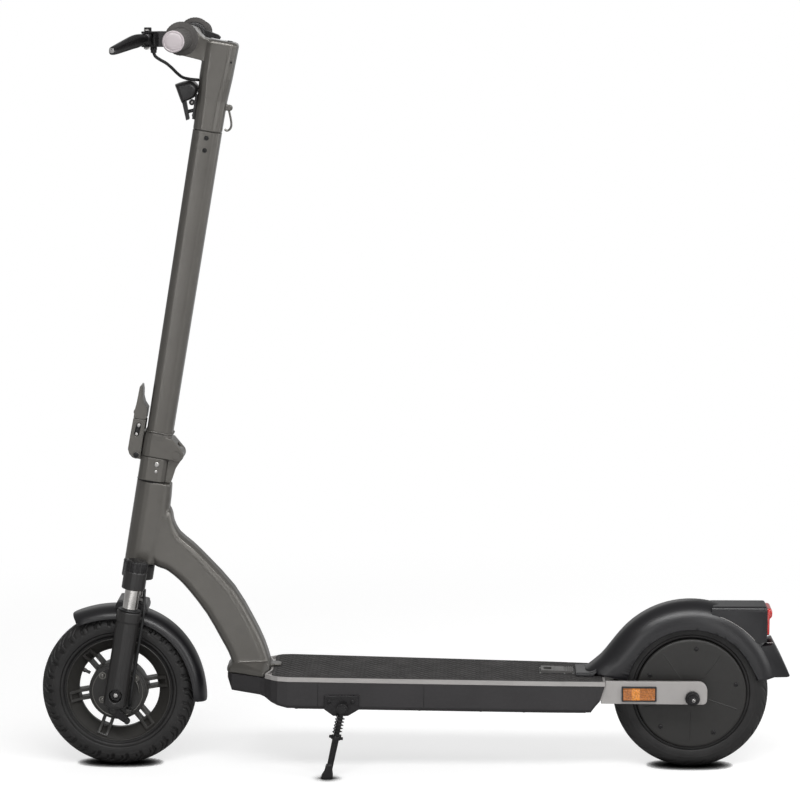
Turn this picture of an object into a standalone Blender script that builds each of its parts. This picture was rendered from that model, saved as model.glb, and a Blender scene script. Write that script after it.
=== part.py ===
# A folding electric scooter with ten inch tyres, a sprung fork, a hub motor and a side stand.
# The nose points along -X, the rider's left side is -Y, and up is +Z. Sizes are in metres.
# The origin lies on the ground below the middle of the scooter.

import math

import bmesh
import bpy
from mathutils import Matrix, Vector

for old in list(bpy.data.objects):
    bpy.data.objects.remove(old)

# Clearances
GAP = 0.0003  # between pieces that touch
RUNNING_GAP = 0.0003  # round a shaft that turns in its bore

# Wheels
WHEEL_RADIUS = 0.127
TYRE_HALF_WIDTH = 0.027
TYRE_SEGMENTS = 32
RIM_HALF_WIDTH = 0.022
BEAD_RADIUS = WHEEL_RADIUS - 0.044
FLANGE_HEIGHT = 0.003
FRONT_AXLE_X = -0.487
REAR_AXLE_X = 0.453
AXLE_RADIUS = 0.006
AXLE_BORE = AXLE_RADIUS + RUNNING_GAP

# Front wheel
RIM_INNER_RADIUS = BEAD_RADIUS - 0.0166
SPOKE_PAIRS = 6
SPOKE_WIDTH = 0.007
SPOKE_OFFSET = 0.007
SPOKE_HALF_DEPTH = 0.008
SPOKE_TURN = math.radians(10)
DRUM_RADIUS = 0.048
DRUM_WALL = 0.006
DRUM_MOUTH_Y = -0.028
DRUM_BACK_Y = 0.012
HUB_END_Y = 0.030
HUB_BOSS_RADIUS = 0.016
BRAKE_PLATE_THICKNESS = 0.0047
VALVE_TURN = math.radians(154)

# Fork
RAKE = math.radians(9.5)
LEG_Y = 0.054
LEG_RADIUS = 0.019
LEG_BOTTOM = -0.022
LEG_TOP = WHEEL_RADIUS + 0.014
COLLAR_RADIUS = 0.0205
COLLAR_HEIGHT = 0.017
STANCHION_RADIUS = 0.01225
STANCHION_BOTTOM = 0.060
LEG_BORE_DEPTH = 0.116
CROWN_BOTTOM = LEG_TOP + 0.037
CROWN_CLAMP_HEIGHT = 0.029
CROWN_CLAMP_RADIUS = 0.019
CROWN_BRIDGE_HALF = 0.014
CROWN_BRIDGE_BOTTOM = CROWN_BOTTOM + 0.0065
CROWN_BRIDGE_TOP = CROWN_BOTTOM + 0.027
CAP_RADIUS = 0.018
CAP_HEIGHT = 0.019
CAP_FLUTES = 12
BOSS_RADIUS = 0.026
BOSS_BOTTOM = CROWN_BOTTOM + 0.010
BOSS_TOP = CROWN_BOTTOM + 0.0325
NUT_RADIUS = 0.0095
NUT_THICKNESS = 0.006
NUT_RECESS_RADIUS = 0.011
NUT_SEAT_Y = 0.0575

# Steerer, head tube and fold pivot, in the steering frame
STEERER_RADIUS = 0.015
STEERER_WALL = 0.003
HEAD_LENGTH = 0.1369
HEAD_BOTTOM = BOSS_TOP + 0.004
HEAD_TOP = HEAD_BOTTOM + HEAD_LENGTH
FOLD_X = 0.0341
FOLD_H = HEAD_TOP + 0.0506
HEAD_FRONT = -0.025
HEAD_HALF_WIDTH = 0.024
BEARING_SEAT_RADIUS = 0.0205
BEARING_SEAT_DEPTH = 0.010

# Folding hinge, in the steering frame
HINGE_FRONT = -0.024
HINGE_REAR = 0.022
HINGE_HALF_WIDTH = 0.0245
HINGE_BOTTOM = HEAD_TOP + 0.0006
HINGE_PARTING = FOLD_H - 0.0104
HINGE_TOP = FOLD_H + 0.031
KNUCKLE_RADIUS = 0.0115
EAR_HALF_WIDTH = 0.0115
FOLD_PIN_RADIUS = 0.004
STEERER_IN_HINGE = 0.020

# Handlebar, placed in the steering frame
BAR_A = -0.0541
BAR_H = 1.0748
BAR_X = FRONT_AXLE_X + BAR_A * math.cos(RAKE) + BAR_H * math.sin(RAKE)
BAR_Z = WHEEL_RADIUS - BAR_A * math.sin(RAKE) + BAR_H * math.cos(RAKE)
BAR_RADIUS = 0.0111
BAR_WALL = 0.002
BAR_HALF_LENGTH = 0.273
BAR_CLAMP_RADIUS = 0.0175
BAR_CLAMP_HALF_WIDTH = 0.024
GRIP_RADIUS = 0.0175
GRIP_START_Y = 0.132
GRIP_FLANGE_RADIUS = 0.027
GRIP_FLANGE_THICKNESS = 0.007
GRIP_RIBS = 3
END_CAP_THICKNESS = 0.0047

# Stem
HEAD_CASTING_TOP = BAR_H + 0.0022
STEM_TOP = HEAD_CASTING_TOP - 0.147
STEM_HALF_DEPTH_LOW = 0.021
STEM_HALF_DEPTH_HIGH = 0.023
STEM_HALF_WIDTH = 0.025
STEM_CORNER = 0.014
STEM_WALL = 0.003
SPIGOT_LENGTH = 0.018
HEAD_CASTING_FRONT = -0.026
HEAD_CASTING_REAR = 0.028
HEAD_CASTING_HALF_WIDTH = 0.027

# Deck, in the tilted deck frame
DECK_TILT = math.radians(1.1)
DECK_HEIGHT = WHEEL_RADIUS + 0.033
DECK_NOSE_X = -0.306
DECK_WIDE_X = -0.205
DECK_END_X = 0.310
DECK_NOSE_HALF = 0.034
DECK_WIDE_HALF = 0.090
DECK_END_HALF = 0.0715
TRIM_FRONT_X = -0.243
TRIM_HEIGHT = 0.007
TRIM_RIM = 0.0035
TRIM_FLOOR = 0.0035
MAT_RISE = 0.0013
FIELD_RISE = 0.0005
FIELD_FRONT_X = -0.205
FIELD_REAR_X = 0.198
FIELD_INSET = 0.012
HOUSING_DEPTH = 0.0522
HOUSING_WALL = 0.004
COVER_THICKNESS = 0.003

# Swingarms
ARM_OUTER_Y = 0.065
ARM_THICKNESS = 0.008
ARM_TOP_Z = WHEEL_RADIUS + 0.027
ARM_BOTTOM_Z = WHEEL_RADIUS - 0.011
ARM_STUB_X = 0.282
ARM_STUB_LOW_Z = WHEEL_RADIUS - 0.0055
ARM_STUB_HIGH_Z = WHEEL_RADIUS + 0.0175

# Rear mudguard
FENDER_RADIUS = WHEEL_RADIUS + 0.024
FENDER_SKIRT_RADIUS = WHEEL_RADIUS - 0.020
FENDER_HALF_WIDTH = 0.038
FENDER_WALL = 0.003
FENDER_FRONT_ANGLE = 168
FENDER_REAR_ANGLE = 11
TONGUE_FRONT_X = 0.264
TONGUE_HALF_WIDTH = 0.037
TONGUE_THICKNESS = 0.0042
TAIL_TOP_Z = WHEEL_RADIUS + FENDER_RADIUS - 0.007
TAIL_REAR_X = REAR_AXLE_X + FENDER_RADIUS - 0.028
TAIL_HALF_WIDTH = 0.031
PLATE_TIP_X = REAR_AXLE_X + FENDER_RADIUS + 0.010
PLATE_HALF_WIDTH = 0.030

# Front mudguard
GUARD_RADIUS = WHEEL_RADIUS + 0.013
GUARD_SKIRT_RADIUS = WHEEL_RADIUS - 0.004
GUARD_HALF_WIDTH = 0.033
GUARD_WALL = 0.0025
GUARD_FRONT_ANGLE = 121
GUARD_REAR_ANGLE = -8

# Hub motor
MOTOR_COVER_RADIUS = BEAD_RADIUS + 0.0073
MOTOR_COVER_OUTER_Y = 0.0325
STATOR_RADIUS = BEAD_RADIUS - 0.013
STATOR_HALF_WIDTH = 0.017

# Latch, in the steering frame
LATCH_A = -0.0315
LATCH_H = FOLD_H - 0.0113
LATCH_REAR = -0.0246
LATCH_SPLIT_H = FOLD_H + 0.0473
LATCH_INNER_Y = 0.013
LATCH_OUTER_Y = 0.016
LATCH_PIN_RADIUS = 0.004

# Pieces on the handlebar and the stem's head
LEVER_PIVOT = (BAR_X - 0.055, -0.125, BAR_Z - 0.001)
LEVER_BOSS_HALF = 0.0085
LEVER_PIN_RADIUS = 0.003
BUTTON_RADIUS = 0.005
BUTTON_TRAVEL = 0.0012
LAMP_X = BAR_X + 0.001
LAMP_Z = BAR_Z - 0.091
LAMP_HALF_WIDTH = 0.0275
LAMP_SEAT_LOW_A = -0.0236
LAMP_SEAT_HIGH_A = -0.0246
LAMP_PLATE = 0.0035
LAMP_BRACKET_LOW = STEM_TOP + 0.015
LAMP_BRACKET_HIGH = STEM_TOP + 0.055
CABLE_ENTRY_H = HEAD_CASTING_TOP - 0.062
HOOK_A = 0.0290
HOOK_H = STEM_TOP + 0.042
HOOK_PIN_RADIUS = 0.002
HOOK_WIRE = 0.0018

# Side stand
STAND_X = -0.1155
STAND_Y = -0.1005
STAND_Z = WHEEL_RADIUS - 0.0115
STAND_LEAN = math.radians(11.9)
STAND_EYE_RADIUS = 0.009
STAND_EYE_HALF_WIDTH = 0.0083
STAND_PIN_RADIUS = 0.004
STAND_ROD_RADIUS = 0.0045
SPRING_WIRE_RADIUS = 0.0011
SPRING_COIL_RADIUS = 0.0068
SPRING_TURNS = 6
SPRING_POINTS_PER_TURN = 8
SPRING_TOP = -0.0073
SPRING_COIL_TOP = -0.0108
SPRING_BOTTOM = -0.0455

# Cables
CABLE_RADIUS = 0.0025
CABLE_A = LEG_RADIUS + CABLE_RADIUS + 0.0021
STOP_H = -0.024


def principled(name, colour, roughness, metallic):
    """A plain surface of one colour."""
    material = bpy.data.materials.new(name)
    material.use_nodes = True
    shader = material.node_tree.nodes["Principled BSDF"]
    shader.inputs["Base Color"].default_value = (*colour, 1.0)
    shader.inputs["Roughness"].default_value = roughness
    shader.inputs["Metallic"].default_value = metallic
    material.diffuse_color = (*colour, 1.0)
    return material


def grey_paint():
    return principled("grey_paint", (0.138, 0.130, 0.112), 0.42, 0.3)


def black_paint():
    return principled("black_paint", (0.016, 0.016, 0.018), 0.35, 0.1)


def black_plastic():
    return principled("black_plastic", (0.030, 0.029, 0.030), 0.5, 0.0)


def fender_plastic():
    return principled("fender_plastic", (0.028, 0.028, 0.033), 0.42, 0.0)


def tyre_rubber():
    return principled("tyre_rubber", (0.024, 0.024, 0.025), 0.8, 0.0)


def mat_rubber():
    return principled("mat_rubber", (0.052, 0.048, 0.044), 0.85, 0.0)


def grip_rubber():
    return principled("grip_rubber", (0.060, 0.056, 0.053), 0.75, 0.0)


def silver_paint():
    return principled("silver_paint", (0.385, 0.370, 0.360), 0.38, 0.5)


def chrome():
    return principled("chrome", (0.620, 0.620, 0.620), 0.12, 1.0)


def steel():
    return principled("steel", (0.400, 0.395, 0.390), 0.35, 1.0)


def dark_steel():
    return principled("dark_steel", (0.035, 0.035, 0.036), 0.4, 0.8)


def cap_plastic():
    return principled("cap_plastic", (0.560, 0.490, 0.500), 0.4, 0.0)


def amber_plastic():
    return principled("amber_plastic", (0.650, 0.210, 0.015), 0.25, 0.0)


def red_plastic():
    return principled("red_plastic", (0.520, 0.030, 0.022), 0.25, 0.0)


def dark_glass():
    return principled("dark_glass", (0.012, 0.012, 0.014), 0.1, 0.0)


def battery_wrap():
    return principled("battery_wrap", (0.020, 0.070, 0.140), 0.5, 0.0)


def link_objects(obj, parent, origin):
    """Puts an object into the scene under its parent, with its origin at the given point."""
    bpy.context.scene.collection.objects.link(obj)
    obj.parent = parent
    obj.location = origin
    return obj


def axis_empty(name, location, turn=0.0, parent=None):
    """An empty at a joint's axis. It is turned about Y."""
    empty = bpy.data.objects.new(name, None)
    empty.empty_display_size = 0.03
    link_objects(empty, parent, location)
    empty.rotation_euler = (0.0, turn, 0.0)
    return empty


def solid(name, shape, material, parent=None, origin=(0.0, 0.0, 0.0)):
    """A named piece. The shape is drawn in the parent's frame and its origin is a point there."""
    bmesh.ops.recalc_face_normals(shape, faces=shape.faces[:])
    bmesh.ops.translate(shape, vec=-Vector(origin), verts=shape.verts[:])
    mesh = bpy.data.meshes.new(name)
    shape.to_mesh(mesh)
    shape.free()
    mesh.materials.append(material)
    mesh.shade_smooth()
    mesh.set_sharp_from_angle(angle=math.radians(32))
    return link_objects(bpy.data.objects.new(name, mesh), parent, origin)


def combine(target, shape, operation, label, parent=None):
    """Joins a shape to the target or cuts it away, with a helper that isn't rendered."""
    bmesh.ops.recalc_face_normals(shape, faces=shape.faces[:])
    name = target.name + "_" + label
    mesh = bpy.data.meshes.new(name)
    shape.to_mesh(mesh)
    shape.free()
    helper = link_objects(bpy.data.objects.new(name, mesh), parent, (0.0, 0.0, 0.0))
    helper.hide_render = True
    helper.display_type = "WIRE"
    modifier = target.modifiers.new(label, "BOOLEAN")
    modifier.operation = operation
    modifier.solver = "EXACT"
    modifier.object = helper


def join(target, shape, label, parent=None):
    combine(target, shape, "UNION", label, parent)


def cut(target, shape, label, parent=None):
    combine(target, shape, "DIFFERENCE", label, parent)


def loft(rings, closed=False):
    """Skin over rings of equally many points. The ends are capped, or joined if it is closed."""
    shape = bmesh.new()
    rows = [[shape.verts.new(point) for point in ring] for ring in rings]
    count = len(rows[0])
    pairs = list(zip(rows, rows[1:]))
    if closed:
        pairs.append((rows[-1], rows[0]))
    for low, high in pairs:
        for i in range(count):
            j = (i + 1) % count
            shape.faces.new((low[i], low[j], high[j], high[i]))
    if not closed:
        shape.faces.new(rows[0][::-1])
        shape.faces.new(rows[-1])
    return shape


def prism(outline, low_y, high_y):
    """An (x, z) outline drawn out along Y."""
    return loft([[(x, y, z) for x, z in outline] for y in (low_y, high_y)])


def slab(outline, low_z, high_z):
    """An (x, y) outline drawn out along Z."""
    return loft([[(x, y, z) for x, y in outline] for z in (low_z, high_z)])


def box(low, high):
    outline = [(low[0], low[2]), (high[0], low[2]), (high[0], high[2]), (low[0], high[2])]
    return prism(outline, low[1], high[1])


def circle(centre, radius, count, start=0.0, end=2 * math.pi):
    """Points on a circle, or on an arc if its end isn't a full turn on."""
    full = abs(end - start) > 2 * math.pi - 1e-6
    steps = count if full else count - 1
    turns = [start + (end - start) * i / steps for i in range(count)]
    return [(centre[0] + radius * math.cos(t), centre[1] + radius * math.sin(t)) for t in turns]


def pin(centre, radius, low_y, high_y, count=16, start=0.0):
    """A round bar along Y through the (x, z) centre."""
    return prism(circle(centre, radius, count, start, start + 2 * math.pi), low_y, high_y)


def post(centre, radius, low_z, high_z, count=16):
    """A round bar along Z through the (x, y) centre."""
    return slab(circle(centre, radius, count), low_z, high_z)


def turned(profile, count, centre=(0.0, 0.0), axis="Y", ring=True):
    """A profile of (radius, along) turned about an axis through the centre. A ring has no axis points."""
    shape = bmesh.new()
    rows = []
    for i in range(count):
        t = 2 * math.pi * i / count
        row = []
        for radius, along in profile:
            side = centre[0] + radius * math.cos(t)
            other = centre[1] + radius * math.sin(t)
            row.append((side, along, other) if axis == "Y" else (side, other, along))
        rows.append(row)
    verts = [[shape.verts.new(point) for point in row] for row in rows]
    last = len(profile)
    spans = range(last) if ring else range(last - 1)
    for i in range(count):
        here = verts[i]
        there = verts[(i + 1) % count]
        for k in spans:
            m = (k + 1) % last
            shape.faces.new((here[k], here[m], there[m], there[k]))
    if not ring:
        shape.faces.new([row[0] for row in verts])
        shape.faces.new([row[-1] for row in verts][::-1])
    return shape


def rounded(half_x, half_y, corner, steps=4):
    """A rounded rectangle round the origin, as (x, y) points. Steps are the points of a corner."""
    points = []
    for cx, cy, start in ((1, 1, 0), (-1, 1, 90), (-1, -1, 180), (1, -1, 270)):
        centre = (cx * (half_x - corner), cy * (half_y - corner))
        first = math.radians(start)
        points += circle(centre, corner, steps, first, first + math.pi / 2)
    return points


def smooth(points, steps):
    """Catmull-Rom points through the given ones, which may have any number of values."""
    out = []
    last = len(points) - 1
    for i in range(last):
        p0, p1, p2, p3 = (points[min(max(i + k, 0), last)] for k in (-1, 0, 1, 2))
        for step in range(steps):
            t = step / steps
            out.append(tuple(
                0.5 * (2 * b + (c - a) * t + (2 * a - 5 * b + 4 * c - d) * t * t
                       + (3 * b - a - 3 * c + d) * t * t * t)
                for a, b, c, d in zip(p0, p1, p2, p3)))
    out.append(tuple(points[last]))
    return out


def even_points(points, spacing):
    """Points about that far apart along a line of many close points."""
    out = [Vector(points[0])]
    travelled = 0.0
    for a, b in zip(points, points[1:]):
        travelled += (Vector(b) - Vector(a)).length
        if travelled >= spacing:
            out.append(Vector(b))
            travelled = 0.0
    if (out[-1] - Vector(points[-1])).length < spacing / 2:
        out.pop()
    out.append(Vector(points[-1]))
    return out


def tube(name, points, radius, resolution, material, parent=None, origin=(0.0, 0.0, 0.0)):
    """A round tube along the points, with filled ends."""
    curve = bpy.data.curves.new(name, "CURVE")
    curve.dimensions = "3D"
    curve.bevel_depth = radius
    curve.bevel_resolution = resolution
    curve.use_fill_caps = True
    spline = curve.splines.new("POLY")
    spline.points.add(len(points) - 1)
    for slot, point in zip(spline.points, points):
        slot.co = (*(Vector(point) - Vector(origin)), 1.0)
    curve.materials.append(material)
    return link_objects(bpy.data.objects.new(name, curve), parent, origin)


def steer_point(a, h):
    """The world (x, z) of a point in the steering frame."""
    x = FRONT_AXLE_X + a * math.cos(RAKE) + h * math.sin(RAKE)
    z = WHEEL_RADIUS - a * math.sin(RAKE) + h * math.cos(RAKE)
    return x, z


def polar(centre_x, radius, degrees):
    """The world (x, z) at that angle above the rearward level, about an axle."""
    t = math.radians(degrees)
    return centre_x + radius * math.cos(t), WHEEL_RADIUS + radius * math.sin(t)


def rod(start, end, radius, count=12):
    """A round bar between two points in space."""
    along = (Vector(end) - Vector(start)).normalized()
    side = along.orthogonal().normalized()
    other = along.cross(side)
    rings = []
    for centre in (Vector(start), Vector(end)):
        turns = [2 * math.pi * i / count for i in range(count)]
        rings.append([centre + radius * (math.cos(t) * side + math.sin(t) * other) for t in turns])
    return loft(rings)


def arch(centre_x, stations, half_width, wall, corner, corner_steps=3):
    """A mudguard's channel. Each station is (degrees, outer radius, skirt radius)."""
    rings = []
    for degrees, outer, skirt in stations:
        t = math.radians(degrees)
        outline = [(skirt, half_width)]
        outline += [(outer - corner + corner * math.sin(q), half_width - corner + corner * math.cos(q))
                    for q in [math.pi / 2 * i / (corner_steps - 1) for i in range(corner_steps)]]
        outline += [(r, -y) for r, y in outline[::-1]]
        bend = corner - wall
        inner = [(skirt, half_width - wall)]
        inner += [(outer - corner + bend * math.sin(q), half_width - corner + bend * math.cos(q))
                  for q in [math.pi / 2 * i / (corner_steps - 1) for i in range(corner_steps)]]
        inner += [(r, -y) for r, y in inner[::-1]]
        outline += inner[::-1]
        rings.append([(centre_x + r * math.cos(t), y, WHEEL_RADIUS + r * math.sin(t))
                      for r, y in outline])
    return loft(rings)


# Wheels


def tyre_profile():
    """Half of the tyre's section and its mirror, as (radius, y). The crown is a little flat."""
    outer = [
        (WHEEL_RADIUS, 0.008),
        (WHEEL_RADIUS - 0.004, 0.0175),
        (WHEEL_RADIUS - 0.014, TYRE_HALF_WIDTH - 0.0015),
        (WHEEL_RADIUS - 0.027, TYRE_HALF_WIDTH),
        (BEAD_RADIUS + 0.005, RIM_HALF_WIDTH - 0.0028),
        (BEAD_RADIUS + GAP, RIM_HALF_WIDTH - 0.0028),
    ]
    inner = [
        (BEAD_RADIUS + GAP, RIM_HALF_WIDTH - 0.0070),
        (WHEEL_RADIUS - 0.012, 0.0165),
    ]
    half = outer + inner
    return half + [(radius, -y) for radius, y in half[::-1]]


def make_tyre(name, axle_x, material):
    centre = (axle_x, WHEEL_RADIUS)
    shape = turned(tyre_profile(), TYRE_SEGMENTS, centre)
    return solid(name, shape, material, origin=(axle_x, 0.0, WHEEL_RADIUS))


def rim_profile(inner):
    """The rim's section with its two flanges, as (radius, y)."""
    flange = BEAD_RADIUS + FLANGE_HEIGHT
    half = [
        (inner, 0.008),
        (BEAD_RADIUS - 0.004, RIM_HALF_WIDTH),
        (flange, RIM_HALF_WIDTH),
        (flange, RIM_HALF_WIDTH - 0.0025),
        (BEAD_RADIUS, RIM_HALF_WIDTH - 0.0025),
        (BEAD_RADIUS - 0.007, 0.008),
    ]
    return half + [(radius, -y) for radius, y in half[::-1]]


def spoke_bars():
    """Pairs of slim bars from the drum to the rim, with a slot between the two of a pair."""
    shape = bmesh.new()
    inner = DRUM_RADIUS - 0.0035
    outer = RIM_INNER_RADIUS + 0.0036
    for pair in range(SPOKE_PAIRS):
        turn = SPOKE_TURN + 2 * math.pi * pair / SPOKE_PAIRS
        for side in (-1, 1):
            low = side * SPOKE_OFFSET - SPOKE_WIDTH / 2
            bar = box((inner, -SPOKE_HALF_DEPTH, low), (outer, SPOKE_HALF_DEPTH, low + SPOKE_WIDTH))
            spot = Matrix.Translation((FRONT_AXLE_X, 0, WHEEL_RADIUS))
            bar.transform(spot @ Matrix.Rotation(-turn, 4, "Y"))
            mesh = bpy.data.meshes.new("bar")
            bar.to_mesh(mesh)
            bar.free()
            shape.from_mesh(mesh)
            bpy.data.meshes.remove(mesh)
    return shape


def drum_profile():
    """The hub as a cup open to the left, with a boss on its bore, as (radius, y)."""
    web = DRUM_BACK_Y - DRUM_WALL
    lining = DRUM_RADIUS - DRUM_WALL
    return [
        (AXLE_BORE, web - 0.012),
        (HUB_BOSS_RADIUS, web - 0.012),
        (HUB_BOSS_RADIUS, web),
        (lining, web),
        (lining, DRUM_MOUTH_Y),
        (DRUM_RADIUS, DRUM_MOUTH_Y),
        (DRUM_RADIUS, DRUM_BACK_Y - 0.004),
        (DRUM_RADIUS - 0.004, DRUM_BACK_Y),
        (HUB_BOSS_RADIUS + 0.004, DRUM_BACK_Y + 0.003),
        (HUB_BOSS_RADIUS, HUB_END_Y),
        (AXLE_BORE, HUB_END_Y),
    ]


def front_rim(material):
    centre = (FRONT_AXLE_X, WHEEL_RADIUS)
    rim = solid("front_rim", turned(rim_profile(RIM_INNER_RADIUS), TYRE_SEGMENTS, centre),
                material, origin=(FRONT_AXLE_X, 0.0, WHEEL_RADIUS))
    join(rim, spoke_bars(), "spokes")
    join(rim, turned(drum_profile(), 20, centre), "drum")
    foot = (math.cos(VALVE_TURN), math.sin(VALVE_TURN))
    ends = [(FRONT_AXLE_X + r * foot[0], 0.0, WHEEL_RADIUS + r * foot[1])
            for r in (RIM_INNER_RADIUS - 0.012, RIM_INNER_RADIUS + 0.004)]
    join(rim, rod(ends[0], ends[1], 0.004), "valve")
    return rim


def front_axle(material, frame):
    """A shaft with a hexagon head at each end and a spacer beside the hub."""
    ends = NUT_SEAT_Y + NUT_THICKNESS
    inner_leg = LEG_Y - LEG_RADIUS
    axle = solid("front_axle", pin((0, 0), AXLE_RADIUS, -ends + 0.001, ends - 0.001), material, frame)
    for side, label in ((-1, "left_nut"), (1, "right_nut")):
        low, high = sorted((side * NUT_SEAT_Y, side * ends))
        join(axle, pin((0, 0), NUT_RADIUS, low, high, 6), label, frame)
    join(axle, pin((0, 0), 0.010, HUB_END_Y + GAP, inner_leg - GAP), "spacer", frame)
    return axle


def brake_pivot():
    """The world (x, z) of the brake arm's pivot, low on the brake plate."""
    return FRONT_AXLE_X - 0.0074, WHEEL_RADIUS - 0.0312


def brake_plate(material, frame):
    """The plate that closes the drum, with the arm's pivot and the cable's stop."""
    inner = DRUM_MOUTH_Y - GAP
    outer = DRUM_MOUTH_Y - BRAKE_PLATE_THICKNESS - GAP
    face = -(LEG_Y - LEG_RADIUS - GAP)
    edge = DRUM_RADIUS - 0.0015
    profile = [
        (AXLE_BORE, inner),
        (edge, inner),
        (edge, outer + 0.0015),
        (edge - 0.005, outer),
        (0.014, outer),
        (0.014, face),
        (AXLE_BORE, face),
    ]
    centre = (FRONT_AXLE_X, WHEEL_RADIUS)
    plate = solid("brake_plate", turned(profile, 20, centre), material,
                  origin=(FRONT_AXLE_X, 0.0, WHEEL_RADIUS))
    pivot = brake_pivot()
    join(plate, pin(pivot, 0.004, outer - 0.0062, outer + 0.001, 16), "pivot_pin")
    join(plate, pin(pivot, 0.0065, outer - 0.0072, outer - 0.0052, 6), "pivot_head")
    low = (CABLE_A - 0.005, -LEG_Y + 0.007, STOP_H - 0.007)
    high = (CABLE_A + 0.005, outer + 0.0015, STOP_H)
    join(plate, box(low, high), "cable_stop", frame)
    return plate


def brake_arm(material):
    """A flat arm on the pivot, with a barrel for the cable at its free end."""
    px, pz = brake_pivot()
    tx, tz = px + 0.0228, pz - 0.0178
    outer = DRUM_MOUTH_Y - BRAKE_PLATE_THICKNESS - GAP
    near = outer - GAP
    far = outer - 0.0049
    lean = math.atan2(tz - pz, tx - px)
    outline = circle((px, pz), 0.008, 9, lean + math.pi / 2, lean + 3 * math.pi / 2)
    outline += circle((tx, tz), 0.005, 7, lean - math.pi / 2, lean + math.pi / 2)
    arm = solid("brake_arm", prism(outline, far, near), material, origin=(px, near, pz))
    join(arm, pin((tx, tz), 0.0045, far - 0.006, near - 0.001, 14), "barrel")
    cut(arm, pin((px, pz), 0.004 + RUNNING_GAP, far - 0.01, near + 0.01, 16), "bore")
    return arm


# Fork


def fork_leg(name, side, material, frame):
    """A slider: a round casting with a collar, a bore for the stanchion and the axle's seat."""
    y = side * LEG_Y
    bore = STANCHION_RADIUS + 0.0006
    neck = LEG_TOP - COLLAR_HEIGHT
    profile = [
        (bore, LEG_TOP - LEG_BORE_DEPTH),
        (bore, LEG_TOP),
        (COLLAR_RADIUS - 0.0015, LEG_TOP),
        (COLLAR_RADIUS, LEG_TOP - 0.0015),
        (COLLAR_RADIUS, neck),
        (LEG_RADIUS, neck - 0.001),
        (LEG_RADIUS, LEG_BOTTOM + 0.005),
        (LEG_RADIUS - 0.004, LEG_BOTTOM),
    ]
    shape = turned(profile, 18, (0.0, y), axis="Z", ring=False)
    leg = solid(name, shape, material, frame)
    low, high = sorted((side * (LEG_Y - LEG_RADIUS - 0.005), side * (NUT_SEAT_Y + 0.001)))
    cut(leg, pin((0, 0), AXLE_BORE, low, high), "axle_bore", frame)
    low, high = sorted((side * (NUT_SEAT_Y - GAP), side * (LEG_Y + LEG_RADIUS + 0.01)))
    cut(leg, pin((0, 0), NUT_RECESS_RADIUS, low, high), "nut_recess", frame)
    return leg


def stanchion(name, side, material, frame):
    top = CROWN_BOTTOM + CROWN_CLAMP_HEIGHT - 0.002
    profile = [
        (STANCHION_RADIUS - 0.001, top),
        (STANCHION_RADIUS, top - 0.001),
        (STANCHION_RADIUS, STANCHION_BOTTOM + 0.001),
        (STANCHION_RADIUS - 0.001, STANCHION_BOTTOM),
    ]
    shape = turned(profile, 18, (0.0, side * LEG_Y), axis="Z", ring=False)
    return solid(name, shape, material, frame)


def fluted_cap(side):
    """A knurled adjuster cap: a disc whose edge goes in and out."""
    count = 2 * CAP_FLUTES
    low = CROWN_BOTTOM + CROWN_CLAMP_HEIGHT - 0.001
    high = CROWN_BOTTOM + CROWN_CLAMP_HEIGHT + CAP_HEIGHT
    rings = []
    for z, shrink in ((low, 0.0), (high - 0.002, 0.0), (high, 0.002)):
        ring = []
        for i in range(count):
            radius = CAP_RADIUS - shrink - 0.0008 * (i % 2)
            t = 2 * math.pi * i / count
            ring.append((radius * math.cos(t), side * LEG_Y + radius * math.sin(t), z))
        rings.append(ring)
    return loft(rings)


def fork_crown(material, frame):
    """The bridge with its centre boss, a clamp on each stanchion and a knurled cap on each clamp."""
    corner = 0.006
    bridge = rounded(CROWN_BRIDGE_HALF, LEG_Y, corner)
    crown = solid("fork_crown", slab(bridge, CROWN_BRIDGE_BOTTOM, CROWN_BRIDGE_TOP), material, frame)
    join(crown, post((0, 0), BOSS_RADIUS, BOSS_BOTTOM, BOSS_TOP, 20), "boss", frame)
    top = CROWN_BOTTOM + CROWN_CLAMP_HEIGHT
    for side, label in ((-1, "left"), (1, "right")):
        y = side * LEG_Y
        join(crown, post((0, y), CROWN_CLAMP_RADIUS, CROWN_BOTTOM, top, 18), label + "_clamp", frame)
        join(crown, fluted_cap(side), label + "_cap", frame)
        bore = STANCHION_RADIUS + GAP
        cut(crown, post((0, y), bore, CROWN_BOTTOM - 0.01, top - 0.0017, 18), label + "_bore", frame)
    reach = (BOSS_BOTTOM - 0.02, BOSS_TOP + 0.01)
    cut(crown, post((0, 0), STEERER_RADIUS + GAP, reach[0], reach[1], 18), "steerer_bore", frame)
    return crown


def front_fender(material, frame):
    """The front mudguard, flared at its ends, with the saddle that holds it between the legs."""
    span = GUARD_FRONT_ANGLE - GUARD_REAR_ANGLE
    stations = []
    for step in range(13):
        share = step / 12
        flare = 0.006 * abs(2 * share - 1) ** 4
        degrees = GUARD_FRONT_ANGLE - share * span
        stations.append((degrees, GUARD_RADIUS + flare, GUARD_SKIRT_RADIUS + flare / 2))
    shape = arch(FRONT_AXLE_X, stations, GUARD_HALF_WIDTH, GUARD_WALL, 0.011)
    guard = solid("front_fender", shape, material, origin=(FRONT_AXLE_X, 0.0, WHEEL_RADIUS))
    half = LEG_Y - COLLAR_RADIUS - GAP
    low = GUARD_RADIUS - GUARD_WALL - 0.001
    high = LEG_TOP + 0.010
    outline = [(-0.026, low), (0.027, low), (0.027, high - 0.006), (0.021, high),
               (-0.020, high), (-0.026, high - 0.006)]
    join(guard, prism(outline, -half, half), "saddle", frame)
    return guard


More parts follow.
